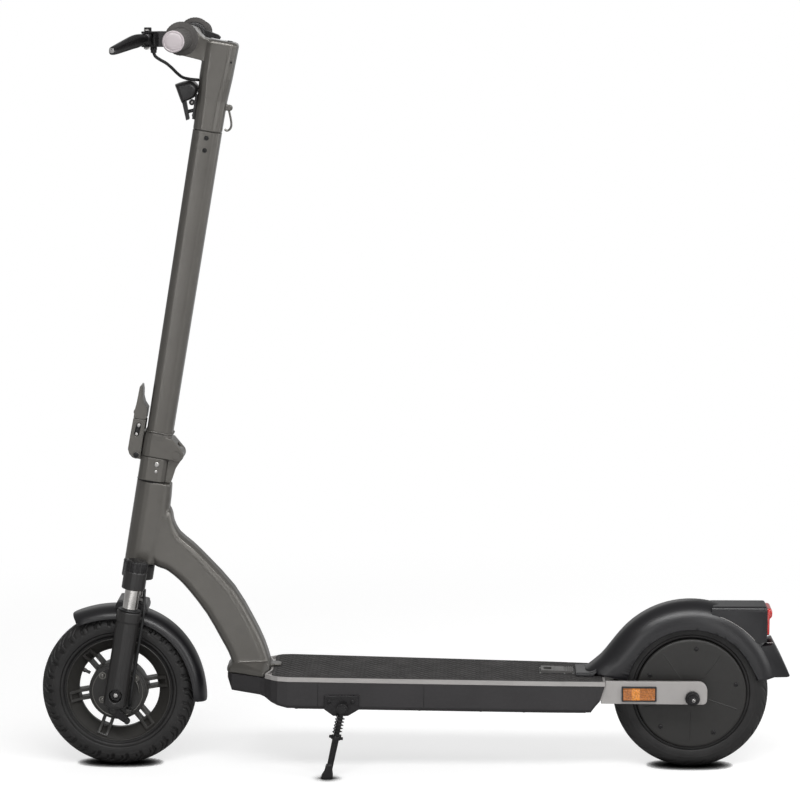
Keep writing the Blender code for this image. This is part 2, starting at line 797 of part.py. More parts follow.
def lower_cable(material, frame):
    """The drum brake's cable, down the back of the left leg to its stop on the brake plate."""
    rear = CABLE_A
    leg = -LEG_Y
    stop_y = -LEG_Y + 0.014
    route = [
        (rear, leg + 0.026, LEG_TOP + 0.029),
        (rear, leg + 0.014, LEG_TOP + 0.017),
        (rear, leg + 0.002, LEG_TOP - 0.003),
        (rear, leg, LEG_TOP - 0.026),
        (rear, leg, 0.060),
        (rear, leg, 0.010),
        (rear, leg + 0.006, -0.008),
        (rear, stop_y, -0.018),
        (rear, stop_y, STOP_H + GAP),
    ]
    points = even_points(smooth(route, 12), 0.007)
    return tube("brake_cable_lower", points, CABLE_RADIUS, 2, material, frame)


# Frame


def head_ring(h, rear):
    """The head tube's section: round in front, with a flatter fairing behind."""
    half = HEAD_HALF_WIDTH
    corner = 0.012
    points = circle((0.0, 0.0), half, 9, math.pi / 2, 3 * math.pi / 2)
    points = [(x * -HEAD_FRONT / half, y) for x, y in points]
    points += circle((rear - corner, corner - half), corner, 4, -math.pi / 2, 0.0)
    points += circle((rear - corner, half - corner), corner, 4, 0.0, math.pi / 2)
    return [(x, y, h) for x, y in points]


def head_tube():
    tall = HEAD_TOP - HEAD_BOTTOM
    rings = [(0.0, 0.026), (0.19, 0.031), (0.62, 0.0355), (0.84, 0.0345), (1.0, 0.0325)]
    return loft([head_ring(HEAD_BOTTOM + share * tall, rear) for share, rear in rings])


def neck():
    """The curved neck, lofted between its upper and lower outline."""
    base = WHEEL_RADIUS
    sections = [
        (*steer_point(0.018, HEAD_TOP - 0.0464), *steer_point(0.018, HEAD_BOTTOM + 0.0055), 0.0230),
        (-0.3990, base + 0.3000, *steer_point(0.030, HEAD_BOTTOM - 0.0025), 0.0232),
        (-0.3948, base + 0.2810, -0.4100, base + 0.2000, 0.0236),
        (-0.3850, base + 0.2610, -0.4015, base + 0.1950, 0.0238),
        (-0.3640, base + 0.2430, -0.3870, base + 0.1830, 0.0242),
        (-0.3390, base + 0.2180, -0.3710, base + 0.1660, 0.0250),
        (-0.2958, base + 0.1696, -0.3413, base + 0.1269, 0.0265),
        (-0.2655, base + 0.1176, -0.3175, base + 0.0845, 0.0278),
        (-0.2473, base + 0.0790, -0.3060, base + 0.0630, 0.0285),
        (-0.2375, base + 0.0480, -0.3003, base + 0.0465, 0.0288),
        (-0.2360, base + 0.0360, -0.2990, base + 0.0340, 0.0288),
    ]
    rings = []
    for ux, uz, lx, lz, half in smooth(sections, 2):
        low = Vector((lx, 0.0, lz))
        along = Vector((ux, 0.0, uz)) - low
        reach = along.length / 2
        along.normalize()
        middle = low + reach * along
        outline = rounded(reach, half, 0.012, 3)
        rings.append([middle + p * along + Vector((0.0, y, 0.0)) for p, y in outline])
    return loft(rings)


def base_half(x):
    """Half the width of the neck's base plate, which widens to the rear."""
    share = (x - DECK_NOSE_X) / (TRIM_FRONT_X - DECK_NOSE_X)
    return DECK_NOSE_HALF - 0.001 + share * 0.031


def base_plate():
    """The plate under the neck, with the weld's slope up to the neck."""
    rear = TRIM_FRONT_X
    plan = [
        (DECK_NOSE_X - 0.002, 0.022),
        (DECK_NOSE_X + 0.002, base_half(DECK_NOSE_X)),
        (rear - 0.002, base_half(rear)),
        (rear + 0.006, 0.034),
    ]
    upper = [
        (DECK_NOSE_X + 0.007, 0.014),
        (DECK_NOSE_X + 0.011, 0.025),
        (rear - 0.002, 0.034),
        (rear + 0.004, 0.026),
    ]
    rings = []
    for half, z in ((plan, -TRIM_HEIGHT), (plan, 0.001), (upper, 0.011)):
        outline = half + [(x, -y) for x, y in half[::-1]]
        rings.append([(x, y, z) for x, y in outline])
    return loft(rings)


def main_frame(material, steer, deck):
    """Head tube, curved neck and base plate, welded into one piece."""
    frame = solid("main_frame", neck(), material)
    join(frame, head_tube(), "head_tube", steer)
    join(frame, base_plate(), "base_plate", deck)
    low = MAT_RISE + GAP
    tab = [(TRIM_FRONT_X - 0.002, 0.014), (TRIM_FRONT_X + 0.020, 0.013), (TRIM_FRONT_X + 0.024, 0.009)]
    tab += [(x, -y) for x, y in tab[::-1]]
    join(frame, slab(tab, low, low + 0.0035), "tab", deck)
    reach = (HEAD_BOTTOM - 0.02, HEAD_TOP + 0.02)
    cut(frame, post((0, 0), STEERER_RADIUS + 0.002, reach[0], reach[1], 18), "bore", steer)
    seat = BEARING_SEAT_RADIUS
    low_seat = HEAD_BOTTOM + BEARING_SEAT_DEPTH
    high_seat = HEAD_TOP - BEARING_SEAT_DEPTH
    cut(frame, post((0, 0), seat, HEAD_BOTTOM - 0.02, low_seat, 20), "lower_seat", steer)
    cut(frame, post((0, 0), seat, high_seat, HEAD_TOP + 0.02, 20), "upper_seat", steer)
    return frame


def headset_lower(material, steer):
    """The lower bearing's cup, with its flange between the head tube and the crown."""
    inner = STEERER_RADIUS + GAP
    outer = BEARING_SEAT_RADIUS - GAP
    flange = outer + 0.003
    profile = [
        (inner, BOSS_TOP + GAP),
        (flange, BOSS_TOP + GAP),
        (flange, HEAD_BOTTOM - GAP),
        (outer, HEAD_BOTTOM - GAP),
        (outer, HEAD_BOTTOM + BEARING_SEAT_DEPTH - GAP),
        (inner, HEAD_BOTTOM + BEARING_SEAT_DEPTH - GAP),
    ]
    return solid("headset_lower", turned(profile, 20, axis="Z"), material, steer)


def steerer_tube(material, steer):
    """The hollow tube that joins the crown to the folding hinge."""
    inner = STEERER_RADIUS - STEERER_WALL
    top = HINGE_BOTTOM + STEERER_IN_HINGE - GAP
    low = BOSS_BOTTOM
    profile = [(inner, low), (STEERER_RADIUS, low), (STEERER_RADIUS, top), (inner, top)]
    return solid("steerer_tube", turned(profile, 18, axis="Z"), material, steer)


def deck_stations():
    """The deck's (x, half width, underside) in the deck frame, from its nose."""
    low = -HOUSING_DEPTH
    mid = low + 0.015
    return [
        (DECK_NOSE_X, DECK_NOSE_HALF - 0.004, mid + 0.021),
        (DECK_NOSE_X + 0.007, DECK_NOSE_HALF + 0.003, mid + 0.001),
        (TRIM_FRONT_X - 0.008, DECK_NOSE_HALF + 0.028, mid - 0.0002),
        (TRIM_FRONT_X, DECK_NOSE_HALF + 0.034, mid - 0.002),
        (TRIM_FRONT_X + 0.011, DECK_WIDE_HALF - 0.011, mid - 0.008),
        (TRIM_FRONT_X + 0.022, DECK_WIDE_HALF - 0.003, low + 0.0035),
        (DECK_WIDE_X, DECK_WIDE_HALF, low),
        (DECK_END_X - 0.089, DECK_END_HALF + 0.0055, low),
        (DECK_END_X - 0.021, DECK_END_HALF + 0.001, low),
        (DECK_END_X - 0.0135, DECK_END_HALF + 0.0005, low + 0.0105),
        (DECK_END_X - 0.007, DECK_END_HALF + 0.0005, low + 0.018),
        (DECK_END_X, DECK_END_HALF, low + 0.0435),
    ]


def deck_half(x):
    """Half the deck's width at an x."""
    stations = deck_stations()
    for (x0, half0, _), (x1, half1, _) in zip(stations, stations[1:]):
        if x0 <= x <= x1:
            return half0 + (half1 - half0) * (x - x0) / (x1 - x0)
    return stations[-1][1]


def deck_plan(inset):
    """The plan of the trim, or of what lies that far inside it, as (x, y) points."""
    edge = TRIM_FRONT_X + 0.0005
    half = [(edge + 0.0075 + inset, 0.0345), (edge + inset, deck_half(edge) - 0.0035 - inset)]
    half += [(edge + inset, deck_half(edge) - inset)]
    for x, width, _ in deck_stations()[4:10]:
        half.append((x + (inset / 2 if x < 0.0 else 0.0), width - inset))
    half.append((DECK_END_X + 0.001 - inset, DECK_END_HALF - inset))
    return half + [(x, -y) for x, y in half[::-1]]


def deck_housing(material, deck):
    """The black side shell: a lofted tray, open below, with pockets for the swingarms."""
    top = -TRIM_HEIGHT - GAP
    rings = []
    for x, half, low in deck_stations():
        corner = min(0.006, (top - low) / 3)
        side = [(half, top), (half - 0.0008, low + corner)]
        side += [(half - 0.3 * corner - 0.0012, low + 0.3 * corner), (half - corner - 0.0014, low)]
        side += [(-y, z) for y, z in side[::-1]]
        rings.append([(x, y, z) for y, z in side])
    housing = solid("deck_housing", loft(rings), material, deck)
    cut(housing, slab(cavity_plan(0.0), -HOUSING_DEPTH - 0.01, top - HOUSING_WALL), "cavity", deck)
    inner = ARM_OUTER_Y - ARM_THICKNESS - GAP
    outer = ARM_OUTER_Y + GAP
    for side, label in ((-1, "left_pocket"), (1, "right_pocket")):
        low_y, high_y = sorted((side * inner, side * outer))
        low = (ARM_STUB_X - 0.004, low_y, ARM_STUB_LOW_Z - GAP)
        high = (DECK_END_X + 0.02, high_y, ARM_STUB_HIGH_Z + GAP)
        cut(housing, box(low, high), label)
    return housing


def cavity_plan(inset):
    """The plan of the hollow inside the housing, or of what lies that far inside it."""
    rear = DECK_END_X - 0.029
    half = [
        (DECK_WIDE_X + 0.002 + inset, deck_half(DECK_WIDE_X) - 0.016 - inset),
        (DECK_WIDE_X + 0.014 + inset, deck_half(DECK_WIDE_X + 0.014) - HOUSING_WALL - inset),
        (DECK_END_X - 0.089, deck_half(DECK_END_X - 0.089) - HOUSING_WALL - inset),
        (rear - inset, deck_half(rear) - HOUSING_WALL - inset),
    ]
    return half + [(x, -y) for x, y in half[::-1]]


def bottom_cover(material, deck):
    low = -HOUSING_DEPTH
    return solid("bottom_cover", slab(cavity_plan(GAP), low, low + COVER_THICKNESS), material, deck)


def deck_trim(material, deck):
    """The light tray whose rim shows as a strip round the mat."""
    trim = solid("deck_trim", slab(deck_plan(0.0), -TRIM_HEIGHT, 0.0), material, deck)
    cut(trim, slab(deck_plan(TRIM_RIM), TRIM_FLOOR - TRIM_HEIGHT, 0.01), "pocket", deck)
    return trim


def deck_mat(material, deck):
    """The rubber mat in the trim's pocket, with its raised field between the neck and the catch."""
    low = TRIM_FLOOR - TRIM_HEIGHT + GAP
    mat = solid("deck_mat", slab(deck_plan(TRIM_RIM + GAP), low, MAT_RISE), material, deck)
    front, rear = deck_half(FIELD_FRONT_X) - FIELD_INSET, deck_half(FIELD_REAR_X) - FIELD_INSET
    field = [(FIELD_FRONT_X, -front), (FIELD_REAR_X, -rear), (FIELD_REAR_X, rear), (FIELD_FRONT_X, front)]
    join(mat, slab(field, low + 0.001, MAT_RISE + FIELD_RISE), "field", deck)
    return mat


def battery_pack(material, deck):
    low = COVER_THICKNESS - HOUSING_DEPTH + GAP
    high = -TRIM_HEIGHT - HOUSING_WALL - 2 * GAP
    outline = [(x - 0.055, y) for x, y in rounded(0.135, 0.062, 0.006, 3)]
    return solid("battery_pack", slab(outline, low, high), material, deck)


def motor_controller(material, deck):
    """A finned box on the bottom cover behind the battery."""
    low = COVER_THICKNESS - HOUSING_DEPTH + GAP
    outline = []
    for i in range(8):
        y = -0.042 + 0.0112 * i
        outline += [(y, low + 0.022), (y + 0.0028, low + 0.030), (y + 0.0056, low + 0.022)]
    ring = [(-0.045, low)] + outline + [(0.045, low)]
    rings = [[(x, y, z) for y, z in ring] for x in (0.098, 0.205)]
    return solid("motor_controller", loft(rings), material, deck)


def fold_catch(material, deck):
    """The plate on the deck's tail, with a slot, a cross rib and a ribbed end."""
    low = MAT_RISE + GAP
    high = low + 0.0045
    profile = [(0.207, low), (0.2605, low)]
    for i in range(4):
        x = 0.2600 - 0.0032 * i
        profile += [(x, high), (x - 0.0016, high - 0.0012)]
    profile += [(0.245, high - 0.0004), (0.2300, high - 0.0004), (0.2290, high), (0.208, high)]
    catch = solid("fold_catch", prism(profile, -0.017, 0.017), material, deck)
    slot = [(x + 0.2185, y) for x, y in rounded(0.0065, 0.009, 0.003, 3)]
    cut(catch, slab(slot, low - 0.01, high + 0.01), "slot", deck)
    return catch


def swingarm(name, side, material):
    """A plate from the deck's tail to the rear axle, with a drop-out slot and a stub in the deck."""
    top, low = ARM_TOP_Z, ARM_BOTTOM_Z
    front = DECK_END_X + 0.001
    end = REAR_AXLE_X + 0.024
    outline = [
        (front + 0.001, top),
        (end - 0.013, top),
        (end - 0.006, top - 0.006),
        (end, top - 0.014),
        (end, low + 0.015),
        (end - 0.005, low + 0.004),
        (end - 0.010, low),
        (front - 0.0065, low + 0.001),
        (front - 0.0058, ARM_STUB_LOW_Z),
        (ARM_STUB_X, ARM_STUB_LOW_Z),
        (ARM_STUB_X, ARM_STUB_HIGH_Z),
        (front - 0.0004, ARM_STUB_HIGH_Z),
    ]
    inner, outer = side * (ARM_OUTER_Y - ARM_THICKNESS), side * ARM_OUTER_Y
    low_y, high_y = sorted((inner, outer))
    arm = solid(name, prism(outline, low_y, high_y), material)
    slot = circle((REAR_AXLE_X, WHEEL_RADIUS), AXLE_BORE, 11, 0.0, math.pi)
    slot = [(slot[0][0], low - 0.01)] + slot + [(slot[-1][0], low - 0.01)]
    cut(arm, prism(slot, low_y - 0.01, high_y + 0.01), "slot")
    return arm


def reflector(name, side, material):
    """A ribbed amber block on the swingarm's outer face."""
    low_x, high_x = 0.338, 0.3945
    low_z, high_z = 0.1215, 0.1460
    near = side * (ARM_OUTER_Y + GAP)
    rings = []
    for inset, depth in ((0.0, 0.0), (0.0, 0.004), (0.0012, 0.0052)):
        y = near + side * depth
        rings.append([
            (low_x + inset, y, low_z + inset),
            (high_x - inset, y, low_z + inset),
            (high_x - inset, y, high_z - inset),
            (low_x + inset, y, high_z - inset),
        ])
    return solid(name, loft(rings), material)


def rear_axle(material):
    """The hub motor's fixed shaft with its spacers and domed end caps."""
    centre = (REAR_AXLE_X, WHEEL_RADIUS)
    inner = ARM_OUTER_Y - ARM_THICKNESS - GAP
    face = ARM_OUTER_Y + GAP
    side = [
        (AXLE_RADIUS, MOTOR_COVER_OUTER_Y + GAP),
        (0.010, MOTOR_COVER_OUTER_Y + GAP),
        (0.010, inner),
        (AXLE_RADIUS, inner),
        (AXLE_RADIUS, face),
        (0.012, face),
        (0.012, face + 0.006),
        (0.009, face + 0.009),
    ]
    profile = [(radius, -y) for radius, y in side[::-1]] + side
    return solid("rear_axle", turned(profile, 14, centre, ring=False), material,
                 origin=(REAR_AXLE_X, 0.0, WHEEL_RADIUS))


def motor_stator(material):
    """The wound core inside the hub, fixed on the axle."""
    centre = (REAR_AXLE_X, WHEEL_RADIUS)
    width = STATOR_HALF_WIDTH
    profile = [(AXLE_BORE, -width), (STATOR_RADIUS, -width), (STATOR_RADIUS, width), (AXLE_BORE, width)]
    return solid("motor_stator", turned(profile, 18, centre), material)


def motor_shell(material):
    centre = (REAR_AXLE_X, WHEEL_RADIUS)
    flange = BEAD_RADIUS + FLANGE_HEIGHT
    half = [
        (STATOR_RADIUS + 0.003, RIM_HALF_WIDTH),
        (flange, RIM_HALF_WIDTH),
        (flange, RIM_HALF_WIDTH - 0.0025),
        (BEAD_RADIUS, RIM_HALF_WIDTH - 0.0025),
    ]
    profile = half + [(radius, -y) for radius, y in half[::-1]]
    return solid("motor_shell", turned(profile, TYRE_SEGMENTS, centre), material,
                 origin=(REAR_AXLE_X, 0.0, WHEEL_RADIUS))


def motor_cover(name, side, material):
    """One side of the hub motor: a shallow dish that covers the rim's flange."""
    centre = (REAR_AXLE_X, WHEEL_RADIUS)
    near = RIM_HALF_WIDTH + GAP
    far = MOTOR_COVER_OUTER_Y
    edge = MOTOR_COVER_RADIUS
    half = [
        (AXLE_BORE, near),
        (edge - 0.0035, near),
        (edge, near + 0.0047),
        (edge, far - 0.0025),
        (edge - 0.0025, far - 0.0008),
        (edge - 0.028, far),
        (AXLE_BORE, far),
    ]
    profile = [(radius, side * y) for radius, y in half]
    return solid(name, turned(profile, TYRE_SEGMENTS, centre), material,
                 origin=(REAR_AXLE_X, 0.0, WHEEL_RADIUS))


def fender_stations():
    """The rear mudguard's (degrees, outer radius, skirt radius), which flares over the deck."""
    flare = [(168.6, 0.0168), (165.0, 0.0120), (160.0, 0.0067), (154.0, 0.0025), (147.0, 0.0005)]
    stations = [(t, FENDER_RADIUS + extra, FENDER_SKIRT_RADIUS) for t, extra in flare]
    count = 13
    for step in range(count):
        t = 140.0 + (FENDER_REAR_ANGLE - 140.0) * step / (count - 1)
        low = max(0.0, 30.0 - t) / 30.0
        stations.append((t, FENDER_RADIUS, FENDER_SKIRT_RADIUS + 0.012 * low * low))
    return stations


def rear_fender(material, deck):
    """The rear mudguard with its tongue on the deck."""
    shape = arch(REAR_AXLE_X, fender_stations(), FENDER_HALF_WIDTH, FENDER_WALL, 0.014)
    fender = solid("rear_fender", shape, material)
    low = MAT_RISE + GAP
    x = TONGUE_FRONT_X
    high = low + TONGUE_THICKNESS
    outline = [(x, low), (x + 0.038, low), (x + 0.036, high + 0.011), (x + 0.026, high + 0.002),
               (x + 0.016, high), (x + 0.001, high)]
    join(fender, prism(outline, -TONGUE_HALF_WIDTH, TONGUE_HALF_WIDTH), "tongue", deck)
    return fender


def over_fender(low, high, count):
    """Points along the rear mudguard's back, just clear of its facets."""
    step = (140.0 - FENDER_REAR_ANGLE) / 12
    radius = FENDER_RADIUS / math.cos(math.radians(step / 2)) + GAP
    radius /= math.cos(math.radians((high - low) / (count - 1) / 2))
    return [polar(REAR_AXLE_X, radius, low + (high - low) * i / (count - 1)) for i in range(count)]


def tail_lamp_housing(material):
    """The box on the mudguard that carries the tail lamp."""
    back = over_fender(39.0, 69.0, 6)
    outline = back + [
        (back[-1][0], TAIL_TOP_Z),
        (TAIL_REAR_X - 0.003, TAIL_TOP_Z),
        (TAIL_REAR_X, TAIL_TOP_Z - 0.003),
        (TAIL_REAR_X, back[0][1] + 0.001),
    ]
    return solid("tail_lamp_housing", prism(outline, -TAIL_HALF_WIDTH, TAIL_HALF_WIDTH), material)


def tail_lamp_lens(material):
    """The red lens: a strip with a thicker lamp at its top."""
    x = TAIL_REAR_X + GAP
    top = TAIL_TOP_Z - 0.0035
    low = top - 0.044
    outline = [(x, low), (x + 0.003, low + 0.001), (x + 0.004, top - 0.018), (x + 0.008, top - 0.015),
               (x + 0.008, top - 0.002), (x + 0.006, top), (x, top)]
    half = TAIL_HALF_WIDTH - 0.004
    return solid("tail_lamp_lens", prism(outline, -half, half), material)


def plate_holder(material):
    """The slanted flap behind the wheel."""
    back = over_fender(FENDER_REAR_ANGLE + 0.5, 35.0, 5)
    outline = back + [
        (PLATE_TIP_X - 0.0295, back[-1][1] + 0.0015),
        (PLATE_TIP_X, WHEEL_RADIUS + 0.0300),
        (PLATE_TIP_X - 0.004, WHEEL_RADIUS + 0.0275),
    ]
    return solid("plate_holder", prism(outline, -PLATE_HALF_WIDTH, PLATE_HALF_WIDTH), material)


# Side stand


def kickstand_bracket(material):
    """The plate on the housing's side that carries the stand's pivot pin."""
    face = STAND_Y + STAND_EYE_HALF_WIDTH + GAP
    x, z = STAND_X, STAND_Z
    outline = [
        (x - 0.0295, z + 0.019),
        (x - 0.0295, z - 0.004),
        (x - 0.015, z - 0.0145),
        (x + 0.009, z - 0.0145),
        (x + 0.0265, z - 0.004),
        (x + 0.0265, z + 0.019),
    ]
    near = [(px, -deck_half(px) - GAP, pz) for px, pz in outline]
    far = [(px, face, pz) for px, pz in outline]
    bracket = solid("kickstand_bracket", loft([near, far]), material, origin=(x, face, z))
    end = STAND_Y - STAND_EYE_HALF_WIDTH - GAP
    join(bracket, pin((x, z), STAND_PIN_RADIUS, end - 0.001, face + 0.001, 18), "pin")
    join(bracket, pin((x, z), STAND_PIN_RADIUS + 0.003, end - 0.003, end, 6), "pin_head")
    return bracket


def kickstand_leg(material, stand):
    """The eye, the rod inside the spring, the eared collar and the grooved leg with its flat foot."""
    eye = pin((0, 0), STAND_EYE_RADIUS, -STAND_EYE_HALF_WIDTH, STAND_EYE_HALF_WIDTH, 18)
    leg = solid("kickstand_leg", eye, material, stand)
    collar = SPRING_BOTTOM - 0.0005
    join(leg, post((0, 0), STAND_ROD_RADIUS, collar - 0.002, -0.004, 16), "rod", stand)
    join(leg, post((0, 0), STAND_EYE_HALF_WIDTH, collar - 0.006, collar, 20), "collar", stand)
    ears = box((-0.0115, -0.003, collar - 0.005), (0.0115, 0.003, collar - 0.001))
    join(leg, ears, "ears", stand)
    foot_h = -STAND_Z / math.cos(STAND_LEAN)
    rings = []
    for z, half_x, half_y in ((collar - 0.005, 0.0055, 0.0055), (foot_h + 0.016, 0.0050, 0.0050)):
        rings.append([(x, y, z) for x, y in rounded(half_x, half_y, 0.0015, 2)])
    join(leg, loft(rings), "blade", stand)
    for side, label in ((-1, "left_groove"), (1, "right_groove")):
        low_y, high_y = sorted((side * 0.0035, side * 0.010))
        groove = box((-0.0022, low_y, foot_h + 0.024), (0.0022, high_y, collar - 0.010))
        cut(leg, groove, label, stand)
    join(leg, stand_foot(), "foot")
    cut(leg, pin((0, 0), STAND_PIN_RADIUS + RUNNING_GAP, -0.02, 0.02, 18), "bore", stand)
    return leg


def stand_foot():
    """The foot, level on the ground."""
    middle = STAND_X - STAND_Z * math.tan(STAND_LEAN)
    outline = [(middle - 0.009, 0.0), (middle + 0.007, 0.0), (middle + 0.009, 0.004),
               (middle + 0.008, 0.012), (middle + 0.0085, 0.022), (middle - 0.0025, 0.022),
               (middle - 0.005, 0.012), (middle - 0.010, 0.004)]
    return prism(outline, STAND_Y - 0.008, STAND_Y + 0.008)


def kickstand_spring(material, stand):
    """One helical wire round the rod, with straight ends."""
    count = SPRING_TURNS * SPRING_POINTS_PER_TURN
    end = 2 * SPRING_WIRE_RADIUS
    high = SPRING_COIL_TOP
    low = SPRING_BOTTOM + end
    points = [(SPRING_COIL_RADIUS, 0.0, SPRING_TOP)]
    coil = []
    for i in range(count + 1):
        t = 2 * math.pi * i / SPRING_POINTS_PER_TURN
        z = high + (low - high) * i / count
        coil.append((SPRING_COIL_RADIUS * math.cos(t), SPRING_COIL_RADIUS * math.sin(t), z))
    points += coil
    points.append((SPRING_COIL_RADIUS, 0.0, SPRING_BOTTOM))
    nearest = min((Vector(a) - Vector(b)).length
                  for i, a in enumerate(coil) for b in coil[i + 4:])
    print("least gap of the spring to itself, mm:", round(1000 * (nearest - end), 2))
    return tube("kickstand_spring", points, SPRING_WIRE_RADIUS, 1, material, stand)


# Folding hinge


def block_ring(h, front, rear, half, corner):
    middle = (front + rear) / 2
    return [(x + middle, y, h) for x, y in rounded((rear - front) / 2, half, corner)]


def hinge_lower(material, steer):
    """The block on the steerer, with the centre ear, the rear rib and the latch's lug and pin."""
    top = HINGE_PARTING - GAP
    rings = [block_ring(HINGE_BOTTOM, HINGE_FRONT + 0.0015, HINGE_REAR - 0.0015, HINGE_HALF_WIDTH - 0.0015, 0.014)]
    rings.append(block_ring(HINGE_BOTTOM + 0.0015, HINGE_FRONT, HINGE_REAR, HINGE_HALF_WIDTH, 0.014))
    rings.append(block_ring(top, HINGE_FRONT, HINGE_REAR, HINGE_HALF_WIDTH, 0.014))
    block = solid("hinge_lower", loft(rings), material, steer)
    ear = EAR_HALF_WIDTH
    rib = [(0.010, HINGE_BOTTOM), (0.0295, HINGE_BOTTOM), (0.0310, HINGE_BOTTOM + 0.003)]
    rib += [(0.0345, HINGE_PARTING - 0.015)]
    rib += circle((FOLD_X, FOLD_H), KNUCKLE_RADIUS - 0.0005, 13, -0.35, math.pi * 1.06)
    rib += [(FOLD_X - KNUCKLE_RADIUS + 0.0005, top - 0.001), (0.010, top - 0.001)]
    join(block, prism(rib, -ear, ear), "rib", steer)
    px, ph = LATCH_A, LATCH_H
    lug = circle((px, ph), 0.0068, 9, math.pi / 2, 3 * math.pi / 2)
    lug += [(HINGE_FRONT + 0.004, ph - 0.0068), (HINGE_FRONT + 0.004, top - 0.0005)]
    lug += [(HINGE_FRONT - 0.0006, top - 0.0005), (HINGE_FRONT - 0.0006, ph + 0.0068)]
    join(block, prism(lug, -LATCH_INNER_Y + GAP, LATCH_INNER_Y - GAP), "lug", steer)
    end = LATCH_OUTER_Y + GAP
    join(block, pin((px, ph), LATCH_PIN_RADIUS, -end - 0.001, end + 0.001, 18), "latch_pin", steer)
    for side, label in ((-1, "left_head"), (1, "right_head")):
        low, high = sorted((side * end, side * (end + 0.0022)))
        join(block, pin((px, ph), LATCH_PIN_RADIUS + 0.0015, low, high, 18), label, steer)
    cut(block, pin((FOLD_X, FOLD_H), FOLD_PIN_RADIUS + RUNNING_GAP, -ear - 0.01, ear + 0.01, 18), "fold_bore", steer)
    spigot = HEAD_TOP - BEARING_SEAT_DEPTH + 0.001
    join(block, post((0, 0), BEARING_SEAT_RADIUS - GAP, spigot, HINGE_BOTTOM + 0.002, 20), "spigot", steer)
    bore_top = HINGE_BOTTOM + STEERER_IN_HINGE
    cut(block, post((0, 0), STEERER_RADIUS + GAP, spigot - 0.01, bore_top, 18), "steerer_bore", steer)
    return block


def fold_pin(material, steer):
    """The hinge's pin with a head at each end."""
    end = HINGE_HALF_WIDTH + GAP
    piece = solid("fold_pin", pin((FOLD_X, FOLD_H), FOLD_PIN_RADIUS, -end - 0.001, end + 0.001, 18),
                  material, steer)
    for side, label in ((-1, "left_head"), (1, "right_head")):
        low, high = sorted((side * end, side * (end + 0.002)))
        join(piece, pin((FOLD_X, FOLD_H), 0.0065, low, high, 18), label, steer)
    return piece


def hinge_upper(material, stem):
    """The block under the stem tube, which slopes back to the two ears round the fold pin."""
    low = HINGE_PARTING + GAP
    front, rear, half = HINGE_FRONT, HINGE_REAR, HINGE_HALF_WIDTH
    deep = STEM_HALF_DEPTH_LOW
    rings = [block_ring(low, front, rear, half, 0.014)]
    rings.append(block_ring(HINGE_TOP - 0.012, front, rear, half, 0.014))
    rings.append(block_ring(HINGE_TOP - 0.003, -deep - 0.0015, deep + 0.0005, STEM_HALF_WIDTH + 0.0005, STEM_CORNER))
    rings.append(block_ring(HINGE_TOP, -deep, deep, STEM_HALF_WIDTH, STEM_CORNER))
    block = solid("hinge_upper", loft(rings), material, stem)
    spigot = rounded(deep - STEM_WALL - GAP, STEM_HALF_WIDTH - STEM_WALL - GAP, STEM_CORNER - STEM_WALL)
    join(block, slab(spigot, HINGE_TOP - 0.002, HINGE_TOP + SPIGOT_LENGTH), "spigot", stem)
    knuckle = circle((FOLD_X, FOLD_H), KNUCKLE_RADIUS, 15, -math.pi * 0.62, math.pi * 0.25)
    ears = [(0.0, low)] + [(knuckle[0][0], low)] + knuckle
    ears += [(HINGE_REAR + 0.001, HINGE_TOP - 0.006), (0.0, HINGE_TOP - 0.006)]
    join(block, prism(ears, -half, half), "ears", stem)
    slot_low = (FOLD_X - KNUCKLE_RADIUS - 0.0005, -EAR_HALF_WIDTH - GAP, low - 0.02)
    slot_high = (FOLD_X + 0.04, EAR_HALF_WIDTH + GAP, FOLD_H + 0.0165)
    cut(block, box(slot_low, slot_high), "slot", stem)
    bore = FOLD_PIN_RADIUS + RUNNING_GAP
    cut(block, pin((FOLD_X, FOLD_H), bore, -half - 0.01, half + 0.01, 18), "bore", stem)
    catch = [(HINGE_FRONT + 0.004, HINGE_TOP - 0.013), (HINGE_FRONT - 0.012, HINGE_TOP - 0.011),
             (HINGE_FRONT - 0.012, HINGE_TOP - 0.001), (HINGE_FRONT - 0.008, HINGE_TOP + 0.001),
             (HINGE_FRONT + 0.004, HINGE_TOP - 0.003)]
    join(block, prism(catch, -0.011, 0.011), "catch", stem)
    return block


# Latch


def latch_link(material, latch):
    """The latch's link: two cheeks and a front web, slotted for its adjusting bolts."""
    a, h = LATCH_A, LATCH_H
    top = LATCH_SPLIT_H
    outline = [
        (LATCH_REAR, top),
        (LATCH_REAR, h),
        (a + 0.0058, h - 0.0036),
        (a + 0.0030, h - 0.0060),
        (a, h - 0.0067),
        (a - 0.0055, h - 0.0057),
        (a - 0.0115, h - 0.0007),
        (a - 0.0150, h + 0.0070),
        (a - 0.0148, h + 0.0250),
        (a - 0.0140, top),
    ]
    link = solid("latch_link", prism(outline, -LATCH_OUTER_Y, LATCH_OUTER_Y), material, latch)
    pocket = box((a - 0.0112, -LATCH_INNER_Y, h - 0.02), (0.0, LATCH_INNER_Y, top + 0.02))
    cut(link, pocket, "pocket", latch)
    below = box((a - 0.03, -LATCH_INNER_Y, h - 0.02), (0.0, LATCH_INNER_Y, h + 0.0085))
    cut(link, below, "mouth", latch)
    bore = LATCH_PIN_RADIUS + RUNNING_GAP
    reach = LATCH_OUTER_Y + 0.01
    cut(link, pin((a, h), bore, -reach, reach, 18), "bore", latch)
    slot = circle((-0.0350, top - 0.0100), 0.0038, 7, 0.0, math.pi)
    slot += circle((-0.0365, top - 0.0250), 0.0038, 7, math.pi, 2 * math.pi)
    cut(link, prism(slot, -reach, reach), "bolt_slots", latch)
    return link


